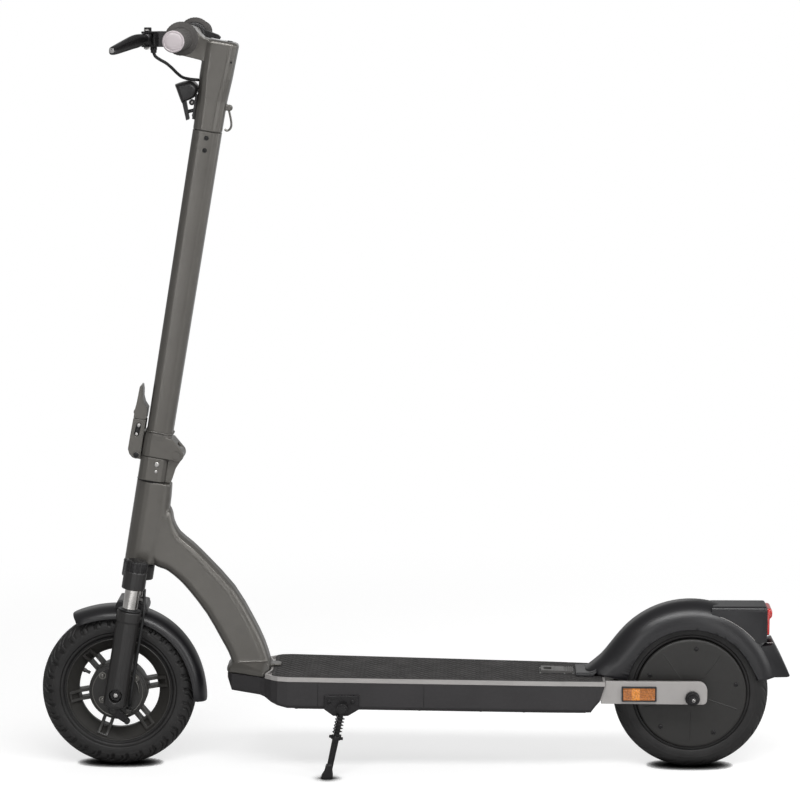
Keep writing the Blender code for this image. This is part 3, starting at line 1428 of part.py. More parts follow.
def latch_lever(material, latch):
    """The hooked finger lever on top of the link, with a tongue inside the link's channel."""
    top = LATCH_SPLIT_H + GAP
    outline = [
        (LATCH_A - 0.0138, top),
        (LATCH_A - 0.0138, top + 0.008),
        (LATCH_A - 0.0150, top + 0.0085),
        (LATCH_A - 0.0150, top + 0.0125),
        (LATCH_A - 0.0138, top + 0.0135),
        (LATCH_A - 0.0125, top + 0.026),
        (LATCH_A - 0.0115, top + 0.052),
        (LATCH_A - 0.0098, top + 0.0555),
        (LATCH_A - 0.0075, top + 0.0550),
        (LATCH_A - 0.0052, top + 0.047),
        (LATCH_A - 0.0038, top + 0.036),
        (LATCH_A + 0.0000, top + 0.027),
        (LATCH_REAR, top + 0.019),
        (LATCH_REAR, top + 0.0022),
        (LATCH_REAR - 0.0022, top),
    ]
    lever = solid("latch_lever", prism(outline, -LATCH_OUTER_Y, LATCH_OUTER_Y), material, latch)
    tongue = box((LATCH_A - 0.0108, -LATCH_INNER_Y + GAP, top - 0.012),
                 (LATCH_A - 0.0070, LATCH_INNER_Y - GAP, top + 0.004))
    join(lever, tongue, "tongue", latch)
    return lever


# Stem


def stem_tube(material, stem):
    """The hollow tube, a little deeper at its top."""
    low, high = HINGE_TOP + GAP, STEM_TOP
    rings = []
    for h, deep in ((low, STEM_HALF_DEPTH_LOW), (high, STEM_HALF_DEPTH_HIGH)):
        rings.append([(x, y, h) for x, y in rounded(deep, STEM_HALF_WIDTH, STEM_CORNER)])
    inner = []
    for h, deep in ((high, STEM_HALF_DEPTH_HIGH), (low, STEM_HALF_DEPTH_LOW)):
        outline = rounded(deep - STEM_WALL, STEM_HALF_WIDTH - STEM_WALL, STEM_CORNER - STEM_WALL)
        inner.append([(x, y, h) for x, y in outline])
    return solid("stem_tube", loft(rings + inner, closed=True), material, stem)


def stem_head(material, stem):
    """The head casting with its nose round the handlebar, the display's recess and the hook's ears."""
    low = STEM_TOP + GAP
    front, rear, half = HEAD_CASTING_FRONT, HEAD_CASTING_REAR, HEAD_CASTING_HALF_WIDTH
    top = HEAD_CASTING_TOP
    deep = STEM_HALF_DEPTH_HIGH
    rings = [
        block_ring(low, -deep, deep, STEM_HALF_WIDTH, STEM_CORNER),
        block_ring(low + 0.050, -deep - 0.001, deep + 0.0005, STEM_HALF_WIDTH, STEM_CORNER),
        block_ring(top - 0.060, front, rear - 0.002, half - 0.0005, 0.013),
        block_ring(top - 0.005, front, rear, half, 0.012),
        block_ring(top - 0.0015, front + 0.0015, rear - 0.0015, half - 0.0015, 0.012),
        block_ring(top, front + 0.005, rear - 0.005, half - 0.005, 0.010),
    ]
    head = solid("stem_head", loft(rings), material, stem)
    spigot = rounded(deep - STEM_WALL - 0.0006, STEM_HALF_WIDTH - STEM_WALL - GAP, STEM_CORNER - STEM_WALL)
    join(head, slab(spigot, low - SPIGOT_LENGTH, low + 0.003), "spigot", stem)
    x, z = BAR_X, BAR_Z
    width = BAR_CLAMP_HALF_WIDTH
    nose = [
        (x + 0.034, z - 0.042),
        (x + 0.018, z - 0.037),
        (x - 0.010, z - 0.030),
        (x - 0.0160, z - 0.018),
        (x - 0.0165, z - 0.002),
        (x + 0.002, z + 0.0165),
        (x + 0.014, z + 0.010),
        (x + 0.026, z - 0.002),
        (x + 0.046, z - 0.007),
    ]
    join(head, prism(nose, -width, width), "nose")
    join(head, pin((x, z), BAR_CLAMP_RADIUS, -width - 0.0015, width + 0.0015, 22), "clamp")
    cut(head, pin((x, z), BAR_RADIUS + GAP, -width - 0.01, width + 0.01, 18), "bar_bore")
    screen = [(a - 0.007, y) for a, y in rounded(0.0125, 0.016, 0.003, 3)]
    cut(head, slab(screen, top - 0.002, top + 0.01), "screen_recess", stem)
    button = (0.0135, 0.0)
    cut(head, post(button, BUTTON_RADIUS + GAP, top - 0.004, top + 0.01, 20), "button_recess", stem)
    for side, label in ((-1, "left_ear"), (1, "right_ear")):
        inner, outer = sorted((side * 0.0042, side * 0.0075))
        ear = circle((HOOK_A, HOOK_H), 0.0048, 9, -math.pi / 2, math.pi / 2)
        ear += [(HOOK_A - 0.007, HOOK_H + 0.0048), (HOOK_A - 0.007, HOOK_H - 0.0048)]
        join(head, prism(ear, inner, outer), label, stem)
    join(head, pin((HOOK_A, HOOK_H), HOOK_PIN_RADIUS, -0.0050, 0.0050, 14), "hook_pin", stem)
    return head


def display_lens(material, stem):
    low = HEAD_CASTING_TOP - 0.002 + GAP
    screen = [(a - 0.007, y) for a, y in rounded(0.0125 - GAP, 0.016 - GAP, 0.003, 3)]
    return solid("display_lens", slab(screen, low, HEAD_CASTING_TOP + 0.0003), material, stem)


def power_button(material, stem):
    """A domed button, a little above its recess's floor."""
    low = HEAD_CASTING_TOP - 0.004 + BUTTON_TRAVEL + GAP
    high = HEAD_CASTING_TOP + 0.0014
    profile = [(BUTTON_RADIUS - 0.0015, high), (BUTTON_RADIUS, high - 0.0007), (BUTTON_RADIUS, low)]
    shape = turned(profile, 20, (0.0135, 0.0), axis="Z", ring=False)
    return solid("power_button", shape, material, stem, origin=(0.0135, 0.0, low))


def handlebar(material):
    inner = BAR_RADIUS - BAR_WALL
    end = BAR_HALF_LENGTH - END_CAP_THICKNESS - GAP
    profile = [(inner, -end), (BAR_RADIUS, -end), (BAR_RADIUS, end), (inner, end)]
    return solid("handlebar", turned(profile, 18, (BAR_X, BAR_Z)), material,
                 origin=(BAR_X, 0.0, BAR_Z))


def grip(name, side, material):
    """A ribbed rubber grip with its round inner flange."""
    bore = BAR_RADIUS + GAP
    end = BAR_HALF_LENGTH - END_CAP_THICKNESS - GAP
    start = GRIP_START_Y
    flange = start - GRIP_FLANGE_THICKNESS
    pitch = (end - start - 0.024) / GRIP_RIBS
    profile = [(bore, flange), (GRIP_FLANGE_RADIUS - 0.002, flange), (GRIP_FLANGE_RADIUS, flange + 0.002)]
    profile += [(GRIP_FLANGE_RADIUS, start - 0.002), (GRIP_FLANGE_RADIUS - 0.003, start)]
    profile += [(GRIP_RADIUS, start)]
    for rib in range(GRIP_RIBS):
        y = start + 0.012 + pitch * rib
        profile += [(GRIP_RADIUS, y), (GRIP_RADIUS - 0.001, y + pitch * 0.75)]
    profile += [(GRIP_RADIUS, end - 0.010), (GRIP_RADIUS, end - 0.001), (GRIP_RADIUS - 0.001, end)]
    profile += [(bore, end)]
    shape = turned([(radius, side * y) for radius, y in profile], 16, (BAR_X, BAR_Z))
    piece = solid(name, shape, material, origin=(BAR_X, 0.0, BAR_Z))
    return piece


def grip_cap(name, side, material):
    """The disc on the bar's end with a plug inside the bar."""
    plug = BAR_RADIUS - BAR_WALL - GAP
    seat = BAR_HALF_LENGTH - END_CAP_THICKNESS
    end = BAR_HALF_LENGTH
    profile = [(plug - 0.001, seat - 0.012), (plug, seat - 0.011), (plug, seat)]
    profile += [(GRIP_RADIUS - 0.0010, seat), (GRIP_RADIUS - 0.0005, seat + 0.0015)]
    profile += [(GRIP_RADIUS - 0.0015, end - 0.0008), (GRIP_RADIUS - 0.0035, end)]
    profile = [(radius, side * y) for radius, y in profile]
    shape = turned(profile, 18, (BAR_X, BAR_Z), ring=False)
    return solid(name, shape, material, origin=(BAR_X, side * seat, BAR_Z))


def brake_clamp(material):
    """The brake lever's clamp on the bar, its arm, the fork round the lever and the lever's pin."""
    x, z = BAR_X, BAR_Z
    low, high = -0.1215, -0.1035
    clamp = solid("brake_clamp", pin((x, z), 0.0165, low, high, 18), material, origin=(x, 0.0, z))
    lx, ly, lz = LEVER_PIVOT
    half = LEVER_BOSS_HALF
    plate = 0.0035
    arm = [(x - 0.004, low + 0.001), (x - 0.004, high - 0.001), (lx + 0.020, high - 0.001)]
    arm += [(lx + 0.002, ly + 0.0105)]
    arm += circle((lx, ly), 0.0085, 7, math.pi * 0.62, math.pi * 1.36)
    arm += [(lx + 0.018, low + 0.001)]
    join(clamp, slab(arm, lz - half - plate - GAP, lz + half + plate + GAP), "arm")
    mouth = [(lx - 0.02, ly - 0.02), (lx + 0.0125, ly - 0.02), (lx + 0.0125, ly + 0.0100), (lx - 0.02, ly + 0.0115)]
    cut(clamp, slab(mouth, lz - half - GAP, lz + half + GAP), "mouth")
    top = lz + half + plate + GAP
    low_z = lz - half - plate - GAP
    join(clamp, post((lx, ly), LEVER_PIN_RADIUS, low_z + 0.001, top + 0.0018, 16), "pin")
    cut(clamp, pin((x, z), BAR_RADIUS + GAP, low - 0.01, high + 0.01, 18), "bar_bore")
    ax, az = lx + 0.009, lz - half - plate
    join(clamp, rod((ax, ly + 0.019, az + 0.003), (ax, ly + 0.019, az - 0.010), 0.0048, 14), "adjuster")
    knob = rod((ax - 0.008, ly + 0.010, top - 0.002), (ax - 0.008, ly + 0.010, top + 0.006), 0.0060, 14)
    join(clamp, knob, "knob")
    return clamp


def brake_lever(material):
    """The lever: a boss on the pin, a tapering blade and a ball end."""
    lx, ly, lz = LEVER_PIVOT
    half = LEVER_BOSS_HALF
    shape = post((lx, ly), 0.0080, lz - half, lz + half, 18)
    lever = solid("brake_lever", shape, material, origin=LEVER_PIVOT)
    route = [
        (lx - 0.002, ly - 0.003, lz, 0.0060, half - 0.0005),
        (lx - 0.009, ly - 0.017, lz - 0.001, 0.0060, half - 0.0008),
        (lx - 0.022, ly - 0.040, lz - 0.004, 0.0058, half - 0.0010),
        (lx - 0.036, ly - 0.066, lz - 0.009, 0.0052, half - 0.0025),
        (lx - 0.047, ly - 0.090, lz - 0.013, 0.0046, half - 0.0038),
    ]
    rings = []
    for i, (x, y, z, wide, tall) in enumerate(route):
        before, after = route[max(i - 1, 0)], route[min(i + 1, len(route) - 1)]
        along = Vector((after[0] - before[0], after[1] - before[1], 0.0)).normalized()
        across = Vector((along.y, -along.x, 0.0))
        outline = rounded(wide, tall, 0.0025, 3)
        rings.append([Vector((x, y, z)) + p * across + Vector((0.0, 0.0, q)) for p, q in outline])
    join(lever, loft(rings), "blade")
    x, y, z = route[-1][:3]
    ball = bmesh.new()
    spot = Matrix.Translation((x - 0.002, y - 0.005, z))
    bmesh.ops.create_uvsphere(ball, u_segments=10, v_segments=6, radius=0.0075, matrix=spot)
    join(lever, ball, "ball")
    cut(lever, post((lx, ly), LEVER_PIN_RADIUS + RUNNING_GAP, lz - 0.03, lz + 0.03, 16), "bore")
    return lever


def throttle_housing(material):
    profile = [(BAR_RADIUS + GAP, 0.1135), (0.0185, 0.1135), (0.0195, 0.1150), (0.0195, 0.1225)]
    profile += [(0.0180, 0.1245), (BAR_RADIUS + GAP, 0.1245)]
    piece = solid("throttle_housing", turned(profile, 18, (BAR_X, BAR_Z)), material,
                  origin=(BAR_X, 0.0, BAR_Z))
    low = (BAR_X - 0.030, 0.1140, BAR_Z - 0.011)
    high = (BAR_X - 0.014, 0.1240, BAR_Z + 0.011)
    join(piece, box(low, high), "pod")
    return piece


def throttle_paddle(material):
    """A ring on the bar with a thumb paddle toward the rider."""
    x, z = BAR_X, BAR_Z
    low, high = 0.1025, 0.1135 - GAP
    paddle = solid("throttle_paddle", pin((x, z), 0.0165, low, high, 18), material, origin=(x, 0.11, z))
    outline = [(x + 0.010, z + 0.009), (x + 0.022, z + 0.006), (x + 0.040, z - 0.001), (x + 0.044, z - 0.005),
               (x + 0.042, z - 0.009), (x + 0.030, z - 0.006), (x + 0.010, z - 0.007)]
    join(paddle, prism(outline, low + 0.001, high - 0.0005), "blade")
    cut(paddle, pin((x, z), BAR_RADIUS + RUNNING_GAP, low - 0.01, high + 0.01, 18), "bore")
    return paddle


def headlight(material):
    """A hooded lamp that tips forward, on a bent bracket from the stem's front."""
    half = LAMP_HALF_WIDTH
    x, z = LAMP_X, LAMP_Z
    side = [(x - 0.0210, z + 0.0090), (x - 0.0150, z + 0.0125), (x + 0.0000, z + 0.0155), (x + 0.0090, z + 0.0140),
            (x + 0.0130, z + 0.0070), (x + 0.0080, z - 0.0100), (x - 0.0020, z - 0.0160), (x - 0.0100, z - 0.0125)]
    centre = (x - 0.004, z)
    rings = []
    for y, share in ((-half, 0.72), (-half + 0.005, 0.93), (-half + 0.012, 1.0),
                     (half - 0.012, 1.0), (half - 0.005, 0.93), (half, 0.72)):
        rings.append([(centre[0] + share * (px - centre[0]), y, centre[1] + share * (pz - centre[1]))
                      for px, pz in side])
    lamp = solid("headlight", loft(rings), material)
    plate = [
        steer_point(LAMP_SEAT_LOW_A, LAMP_BRACKET_LOW),
        steer_point(LAMP_SEAT_HIGH_A, LAMP_BRACKET_HIGH),
        steer_point(LAMP_SEAT_HIGH_A - LAMP_PLATE, LAMP_BRACKET_HIGH),
        steer_point(LAMP_SEAT_LOW_A - LAMP_PLATE, LAMP_BRACKET_LOW),
    ]
    join(lamp, prism(plate, -0.009, 0.009), "bracket")
    return lamp


def upper_cable(material):
    """The brake cable from the lever's adjuster, round the nose and into the stem's front."""
    lx, ly, lz = LEVER_PIVOT
    start = (lx + 0.009, ly + 0.019, lz - LEVER_BOSS_HALF - 0.0035 - 0.0105)
    x, y, z = start
    end_a = HEAD_CASTING_FRONT - 0.0006
    ex, ez = steer_point(end_a, CABLE_ENTRY_H)
    route = [
        start,
        (x, y, z - 0.007),
        (x + 0.010, y + 0.016, z - 0.020),
        (x + 0.022, y + 0.034, z - 0.032),
        (x + 0.032, y + 0.056, z - 0.042),
        (x + 0.040, y + 0.080, z - 0.050),
        (ex - 0.012, -0.006, ez + 0.002),
        (ex, -0.004, ez),
    ]
    points = even_points(smooth(route, 14), 0.007)
    return tube("brake_cable_upper", points, CABLE_RADIUS, 2, material)


def bag_hook(material, stem):
    """A bent wire hook that hangs from an eye behind the stem."""
    a, h = HOOK_A, HOOK_H
    route = [(a, h - 0.0045), (a + 0.0030, h - 0.012), (a + 0.0065, h - 0.022), (a + 0.0075, h - 0.029),
             (a + 0.0055, h - 0.0345), (a + 0.0015, h - 0.0370), (a - 0.0022, h - 0.0352)]
    fine = smooth(route, 3)
    rings = []
    for i, (x, z) in enumerate(fine):
        before, after = fine[max(i - 1, 0)], fine[min(i + 1, len(fine) - 1)]
        along = Vector((after[0] - before[0], 0.0, after[1] - before[1])).normalized()
        across = Vector((along.z, 0.0, -along.x))
        turns = [2 * math.pi * k / 8 for k in range(8)]
        rings.append([Vector((x, 0.0, z)) + HOOK_WIRE * (math.cos(t) * across + Vector((0.0, math.sin(t), 0.0)))
                      for t in turns])
    hook = solid("bag_hook", loft(rings), material, stem, origin=(a, 0.0, h))
    join(hook, pin((a, h), 0.0052, -0.0036, 0.0036, 18), "eye", stem)
    cut(hook, pin((a, h), HOOK_PIN_RADIUS + RUNNING_GAP, -0.01, 0.01, 14), "bore", stem)
    return hook


def build():
    """Makes every piece in place."""
    steer = axis_empty("steering_axis", (FRONT_AXLE_X, 0.0, WHEEL_RADIUS), RAKE)
    deck = axis_empty("deck_frame", (0.0, 0.0, DECK_HEIGHT), DECK_TILT)
    stand = axis_empty("stand_axis", (STAND_X, STAND_Y, STAND_Z), STAND_LEAN)
    grey, black, plastic = grey_paint(), black_paint(), black_plastic()
    fender, rubber, silver = fender_plastic(), tyre_rubber(), silver_paint()
    metal, dark, shiny = steel(), dark_steel(), chrome()
    main_frame(grey, steer, deck)
    headset_lower(dark, steer)
    steerer_tube(metal, steer)
    deck_housing(plastic, deck)
    bottom_cover(dark, deck)
    deck_trim(silver, deck)
    deck_mat(mat_rubber(), deck)
    battery_pack(battery_wrap(), deck)
    motor_controller(metal, deck)
    fold_catch(silver, deck)
    swingarm("swingarm_left", -1, silver)
    swingarm("swingarm_right", 1, silver)
    amber = amber_plastic()
    reflector("reflector_left", -1, amber)
    reflector("reflector_right", 1, amber)
    rear_fender(fender, deck)
    tail_lamp_housing(fender)
    tail_lamp_lens(red_plastic())
    plate_holder(fender)
    rear_axle(dark)
    motor_stator(metal)
    motor_shell(dark)
    motor_cover("motor_cover_left", -1, black)
    motor_cover("motor_cover_right", 1, black)
    make_tyre("rear_tyre", REAR_AXLE_X, rubber)
    kickstand_bracket(dark)
    kickstand_leg(dark, stand)
    kickstand_spring(metal, stand)
    fork_crown(black, steer)
    stanchion("stanchion_left", -1, shiny, steer)
    stanchion("stanchion_right", 1, shiny, steer)
    fork_leg("fork_leg_left", -1, black, steer)
    fork_leg("fork_leg_right", 1, black, steer)
    front_fender(fender, steer)
    front_axle(dark, steer)
    brake_plate(dark, steer)
    brake_arm(metal)
    lower_cable(rubber, steer)
    front_rim(black)
    make_tyre("front_tyre", FRONT_AXLE_X, rubber)
    hinge_lower(grey, steer)
    fold_pin(metal, steer)
    hinge_upper(grey, steer)
    latch_link(grey, steer)
    latch_lever(grey, steer)
    stem_tube(grey, steer)
    stem_head(grey, steer)
    display_lens(dark_glass(), steer)
    power_button(plastic, steer)
    handlebar(metal)
    handle = grip_rubber()
    cap = cap_plastic()
    grip("grip_left", -1, handle)
    grip("grip_right", 1, handle)
    grip_cap("grip_cap_left", -1, cap)
    grip_cap("grip_cap_right", 1, cap)
    brake_clamp(dark)
    brake_lever(dark)
    throttle_housing(plastic)
    throttle_paddle(plastic)
    headlight(plastic)
    upper_cable(rubber)
    bag_hook(metal, steer)


build()
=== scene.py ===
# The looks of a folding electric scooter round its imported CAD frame. Lengths are in metres, those in mm() in
# millimetres. The nose points along -X, the rider's left side is -Y, and up is +Z.

import math

import bmesh
import bpy
import numpy as np
from mathutils import Matrix, Vector


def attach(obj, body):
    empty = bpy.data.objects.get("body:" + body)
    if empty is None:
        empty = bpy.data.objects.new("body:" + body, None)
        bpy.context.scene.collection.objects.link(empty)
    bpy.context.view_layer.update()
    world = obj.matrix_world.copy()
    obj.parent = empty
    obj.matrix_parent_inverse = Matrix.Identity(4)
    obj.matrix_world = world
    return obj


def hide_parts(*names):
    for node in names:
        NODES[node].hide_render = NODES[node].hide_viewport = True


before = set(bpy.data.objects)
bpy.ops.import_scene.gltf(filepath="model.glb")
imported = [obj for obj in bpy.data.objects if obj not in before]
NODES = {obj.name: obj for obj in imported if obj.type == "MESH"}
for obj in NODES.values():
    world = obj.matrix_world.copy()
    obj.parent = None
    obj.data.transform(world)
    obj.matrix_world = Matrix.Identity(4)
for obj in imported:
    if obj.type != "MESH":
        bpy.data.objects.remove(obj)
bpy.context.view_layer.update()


def placed(x, y, z, turn=0.0):
    """The matrix that turns about Y and then moves."""
    return Matrix.Translation((x, y, z)) @ Matrix.Rotation(turn, 4, "Y")


# The part's own sizes, repeated from its source
WHEEL_R = 0.127
FRONT_X = -0.487
REAR_X = 0.453
LEG_Y = 0.054
BAR_X = -0.362965
BAR_Z = 1.195989
RAKE = math.radians(9.5)
DECK_TILT = math.radians(1.1)

WORLD = Matrix.Identity(4)
STEER = placed(FRONT_X, 0, WHEEL_R, RAKE)
DECK = placed(0, 0, 0.16, DECK_TILT)
FRONT_HUB = placed(FRONT_X, 0, WHEEL_R)
REAR_HUB = placed(REAR_X, 0, WHEEL_R)
BAR = placed(BAR_X, 0, BAR_Z)
LAMP = placed(BAR_X + 0.0038, 0, BAR_Z - 0.091)
LEVER = placed(-0.417965, -0.125, 1.194989)
SIDES = ((-1, "left"), (1, "right"))


def put(name, data):
    """A new object with a mesh, a lamp or a camera, in the scene."""
    made = bpy.data.objects.new(name, data)
    bpy.context.scene.collection.objects.link(made)
    return made


# Materials


class Nodes:
    """A node tree with short helpers. A socket's value is a constant or another node's output."""

    def __init__(self, tree):
        self.tree = tree

    def feed(self, node, sockets):
        for key, value in dict(sockets).items():
            socket = node.inputs[key]
            if isinstance(value, bpy.types.NodeSocket):
                self.tree.links.new(value, socket)
            else:
                socket.default_value = (*value, 1) if socket.type == "RGBA" else value

    def node(self, kind, sockets=(), **settings):
        made = self.tree.nodes.new(kind)
        for key, value in settings.items():
            setattr(made, key, value)
        self.feed(made, sockets)
        return made

    def math(self, operation, *inputs):
        return self.node("ShaderNodeMath", enumerate(inputs), operation=operation).outputs[0]

    def spread(self, value, low, high, to_low=0.0, to_high=1.0, **settings):
        """A value between low and high, stretched to another range."""
        sockets = {"Value": value, "From Min": low, "From Max": high, "To Min": to_low, "To Max": to_high}
        return self.node("ShaderNodeMapRange", sockets, **settings).outputs[0]

    def seen(self, rays):
        """1 for the rays that show a surface to the camera, straight or through glass."""
        return self.math("MAXIMUM", rays.outputs["Is Camera Ray"], rays.outputs["Is Transmission Ray"])


class Shader(Nodes):
    """A node material with one Principled shader."""

    def __init__(self, name, colour, rough, metallic=0.0, specular=0.5):
        self.mat = bpy.data.materials.new(name)
        self.mat.use_nodes = True
        self.mat.diffuse_color = (*colour, 1)
        super().__init__(self.mat.node_tree)
        self.bsdf = self.tree.nodes["Principled BSDF"]
        self.look({"Base Color": colour, "Roughness": rough, "Metallic": metallic, "Specular IOR Level": specular})
        self.where = self.node("ShaderNodeTexCoord").outputs["Object"]
        self.normal = None

    def look(self, sockets):
        self.feed(self.bsdf, sockets)

    def noise(self, scale, detail=3.0, where=None):
        sockets = {"Vector": where or self.where, "Scale": scale, "Detail": detail}
        return self.node("ShaderNodeTexNoise", sockets).outputs["Fac"]

    def cells(self, scale):
        return self.node("ShaderNodeTexVoronoi", {"Vector": self.where, "Scale": scale}).outputs["Distance"]

    def stretch(self, scale):
        """The object's coordinates, stretched by a scale for each axis."""
        return self.node("ShaderNodeMapping", {"Vector": self.where, "Scale": scale}).outputs[0]

    def mix(self, factor, first, second):
        return self.node("ShaderNodeMix", {0: factor, 6: first, 7: second}, data_type="RGBA").outputs[2]

    def shades(self, value, low, high, colour, first, second):
        """A colour that drifts between two shades of itself while a value goes from low to high."""
        return self.mix(self.spread(value, low, high), vary(colour, first), vary(colour, second))

    def gloss(self, value, low, high):
        self.look({"Roughness": self.spread(value, 0.3, 0.7, low, high)})

    def bump(self, height, distance, strength):
        """Adds a bump on top of those before it."""
        sockets = {"Height": height, "Distance": distance, "Strength": strength}
        if self.normal:
            sockets["Normal"] = self.normal
        self.normal = self.node("ShaderNodeBump", sockets).outputs[0]
        self.look({"Normal": self.normal})


def vary(colour, by):
    return tuple(min(1.0, c * by) for c in colour)


def painted(name, colour, rough, metallic, coat, fleck=0.0):
    """Sprayed paint: cloudy colour, fine metal flecks, orange peel and dust in the clear coat."""
    s = Shader(name, colour, rough, metallic)
    base = s.shades(s.noise(9, 4), 0.3, 0.7, colour, 0.93, 1.07)
    if fleck:
        spark = s.spread(s.cells(2600), 0.0, 0.32, 1.0, 0.0)
        base = s.mix(s.math("MULTIPLY", spark, fleck), base, vary(colour, 1.9))
    grime = s.spread(s.noise(46, 6), 0.58, 0.72, 0.0, 0.35)
    s.look({"Base Color": s.mix(grime, base, vary(colour, 0.8)), "Coat Weight": coat, "Coat Roughness": 0.16})
    s.gloss(s.noise(130, 5), rough - 0.06, rough + 0.08)
    s.bump(s.noise(620, 2), 0.00006, 0.5)
    s.bump(s.noise(75, 2), 0.00025, 0.35)
    return s.mat


def moulded(name, colour, rough, grain=900, depth=0.00012, shade=0.12, coat=0.0, uneven=0.07):
    """Moulded plastic: a fine spark-eroded grain, cloudy gloss and faint scuffs."""
    s = Shader(name, colour, rough)
    base = s.shades(s.noise(14, 5), 0.3, 0.7, colour, 1 - shade, 1 + shade)
    scuff = s.spread(s.noise(60, 8, s.stretch((1, 1, 7))), 0.62, 0.7, 0.0, 0.3)
    s.look({"Base Color": s.mix(scuff, base, vary(colour, 1.6)), "Coat Weight": coat, "Coat Roughness": 0.24})
    s.gloss(s.noise(200, 6), rough - uneven, rough + uneven)
    s.bump(s.cells(grain), depth, 0.6)
    s.bump(s.noise(grain * 0.4, 3), depth, 0.5)
    return s.mat


def rubber(name, colour, rough, grain=1300):
    """Rubber: matt and a little dusty, with a pitted skin."""
    s = Shader(name, colour, rough, specular=0.35)
    s.look({"Base Color": s.shades(s.noise(26, 7), 0.42, 0.68, colour, 0.85, 1.25)})
    s.gloss(s.noise(90, 5), rough - 0.08, min(1.0, rough + 0.08))
    s.bump(s.noise(grain, 4), 0.00012, 0.6)
    return s.mat


def worked_metal(name, colour, rough, brush=(1, 1, 40), metallic=1.0):
    """Metal with fine tool marks along one axis and small stains."""
    s = Shader(name, colour, rough, metallic)
    marks = s.noise(260, 6, s.stretch(brush))
    s.look({"Base Color": s.shades(s.noise(55, 6), 0.45, 0.75, colour, 1.05, 0.82)})
    s.gloss(marks, max(0.03, rough - 0.08), rough + 0.1)
    s.bump(marks, 0.00003, 0.4)
    return s.mat


def deep_plastic(name, colour, glow=0.0):
    """A clear coloured lens: glossy, with cells pressed into its back as bumps and as painted highlights that make the
    facets lighter, and if asked a painted glow.
    """
    s = Shader(name, colour, 0.16, specular=0.6)
    facets = s.cells(420)
    # The cells also lighten the base colour: painted highlights on the facets
    s.look({"Base Color": s.shades(facets, 0.1, 0.7, colour, 0.62, 1.45), "Coat Weight": 0.6, "Coat Roughness": 0.05})
    s.gloss(s.noise(160, 4), 0.1, 0.22)
    s.bump(facets, 0.00018, 0.6)
    # A painted glow: faint emission on a lens that is not lit
    if glow:
        s.look({"Emission Color": colour, "Emission Strength": glow})
    return s.mat


GREY = painted("grey_metallic", (0.112, 0.106, 0.0965), 0.34, 0.55, 0.25, 0.5)
SATIN = painted("black_satin", (0.015, 0.0142, 0.014), 0.4, 0.0, 0.1)
CAST = painted("cast_black", (0.0175, 0.0165, 0.0155), 0.46, 0.0, 0.0)
SILVER = painted("silver_paint", (0.4, 0.384, 0.374), 0.42, 0.35, 0.15, 0.3)
SHELL = moulded("deck_plastic", (0.0215, 0.0198, 0.0212), 0.5)
BLACK = moulded("black_plastic", (0.0125, 0.012, 0.0125), 0.38)
GUARD = moulded("guard_plastic", (0.0052, 0.0048, 0.0062), 0.35, 1500, 0.000004, 0.06, 0.12, 0.02)
MOTOR = moulded("motor_paint", (0.0155, 0.0146, 0.0135), 0.46, 1100, 0.00006)
TYRE = rubber("tyre_rubber", (0.0165, 0.0158, 0.0158), 0.5)
CABLE = rubber("cable_sheath", (0.012, 0.012, 0.0125), 0.45, 700)
GRIP = rubber("grip_rubber", (0.062, 0.058, 0.055), 0.62, 1600)
MAT = rubber("deck_mat_rubber", (0.036, 0.034, 0.0335), 0.7, 1100)
CHROME = worked_metal("chrome_plate", (0.56, 0.545, 0.53), 0.17, (1, 1, 6))
STEEL = worked_metal("bright_steel", (0.46, 0.45, 0.44), 0.3)
DARK = worked_metal("black_oxide", (0.025, 0.024, 0.025), 0.3, (1, 1, 8), 0.6)
CAPS = moulded("mauve_cap", (0.47, 0.425, 0.44), 0.36, 1700, 0.00004, 0.05)
# The amber and red lenses get a faint painted glow, though none of them is lit
AMBER = deep_plastic("amber_lens", (0.52, 0.185, 0.02), 0.05)
RED = deep_plastic("red_lens", (0.38, 0.014, 0.011), 0.03)
GLASS = moulded("display_glass", (0.008, 0.008, 0.009), 0.1, 300, 0.00001)
LENS = deep_plastic("lamp_lens", (0.5, 0.52, 0.54))
WIRE = worked_metal("hook_wire", (0.17, 0.165, 0.155), 0.35)
PLATE = worked_metal("catch_plate", (0.2, 0.195, 0.19), 0.42)
# A darker copy of the amber lens: painted shade on the reflector's front and rear parts
AMBER_PAINTED_DARK = deep_plastic("amber_lens_painted_dark", (0.3, 0.095, 0.012), 0.02)
INSET = moulded("grey_inset", (0.23, 0.225, 0.222), 0.45, 1700, 0.00004, 0.05)
RIM = painted("rim_paint", (0.03, 0.0285, 0.0262), 0.46, 0.0, 0.1)


# Points and curves


def mm(table):
    """A table of lengths in millimetres, with commas between its rows, as tuples in metres."""
    return [tuple(float(value) / 1000 for value in row.split()) for row in table.split(",")]


def sided(points, side=-1):
    """(radius, y) points with their y turned to a side."""
    return [(r, side * y) for r, y in points]


def both_ways(half):
    """(y, value) pairs from side to side, from those of the +y side, which run inwards."""
    skipped = 1 if half[-1][0] == 0 else 0
    return [(-y, value) for y, value in half] + half[::-1][skipped:]


def turns(count):
    """Equal steps round a full turn."""
    return 2 * np.pi * np.arange(count) / count


def ramp(value, start, length):
    """0 up to a start, 1 from a length past it, and straight in between."""
    return np.clip((value - start) / length, 0, 1)


def smoothed(share):
    return share * share * (3 - 2 * share)


def zigzag(value):
    """A line that runs between 0 and 1 and back for each whole number."""
    return 1 - np.abs(value % 1 * 2 - 1)


def rounded_end(gap):
    """How far a quarter circle draws in at a gap from its tip: 1 at the tip, 0 at a gap of 1 and beyond."""
    return 1 - np.sqrt(1 - (1 - np.clip(gap, 0, 1)) ** 2)


def stacked(x, y, z):
    """Arrays of x, y and z as one array of points."""
    return np.stack(np.broadcast_arrays(x, y, z), axis=-1)


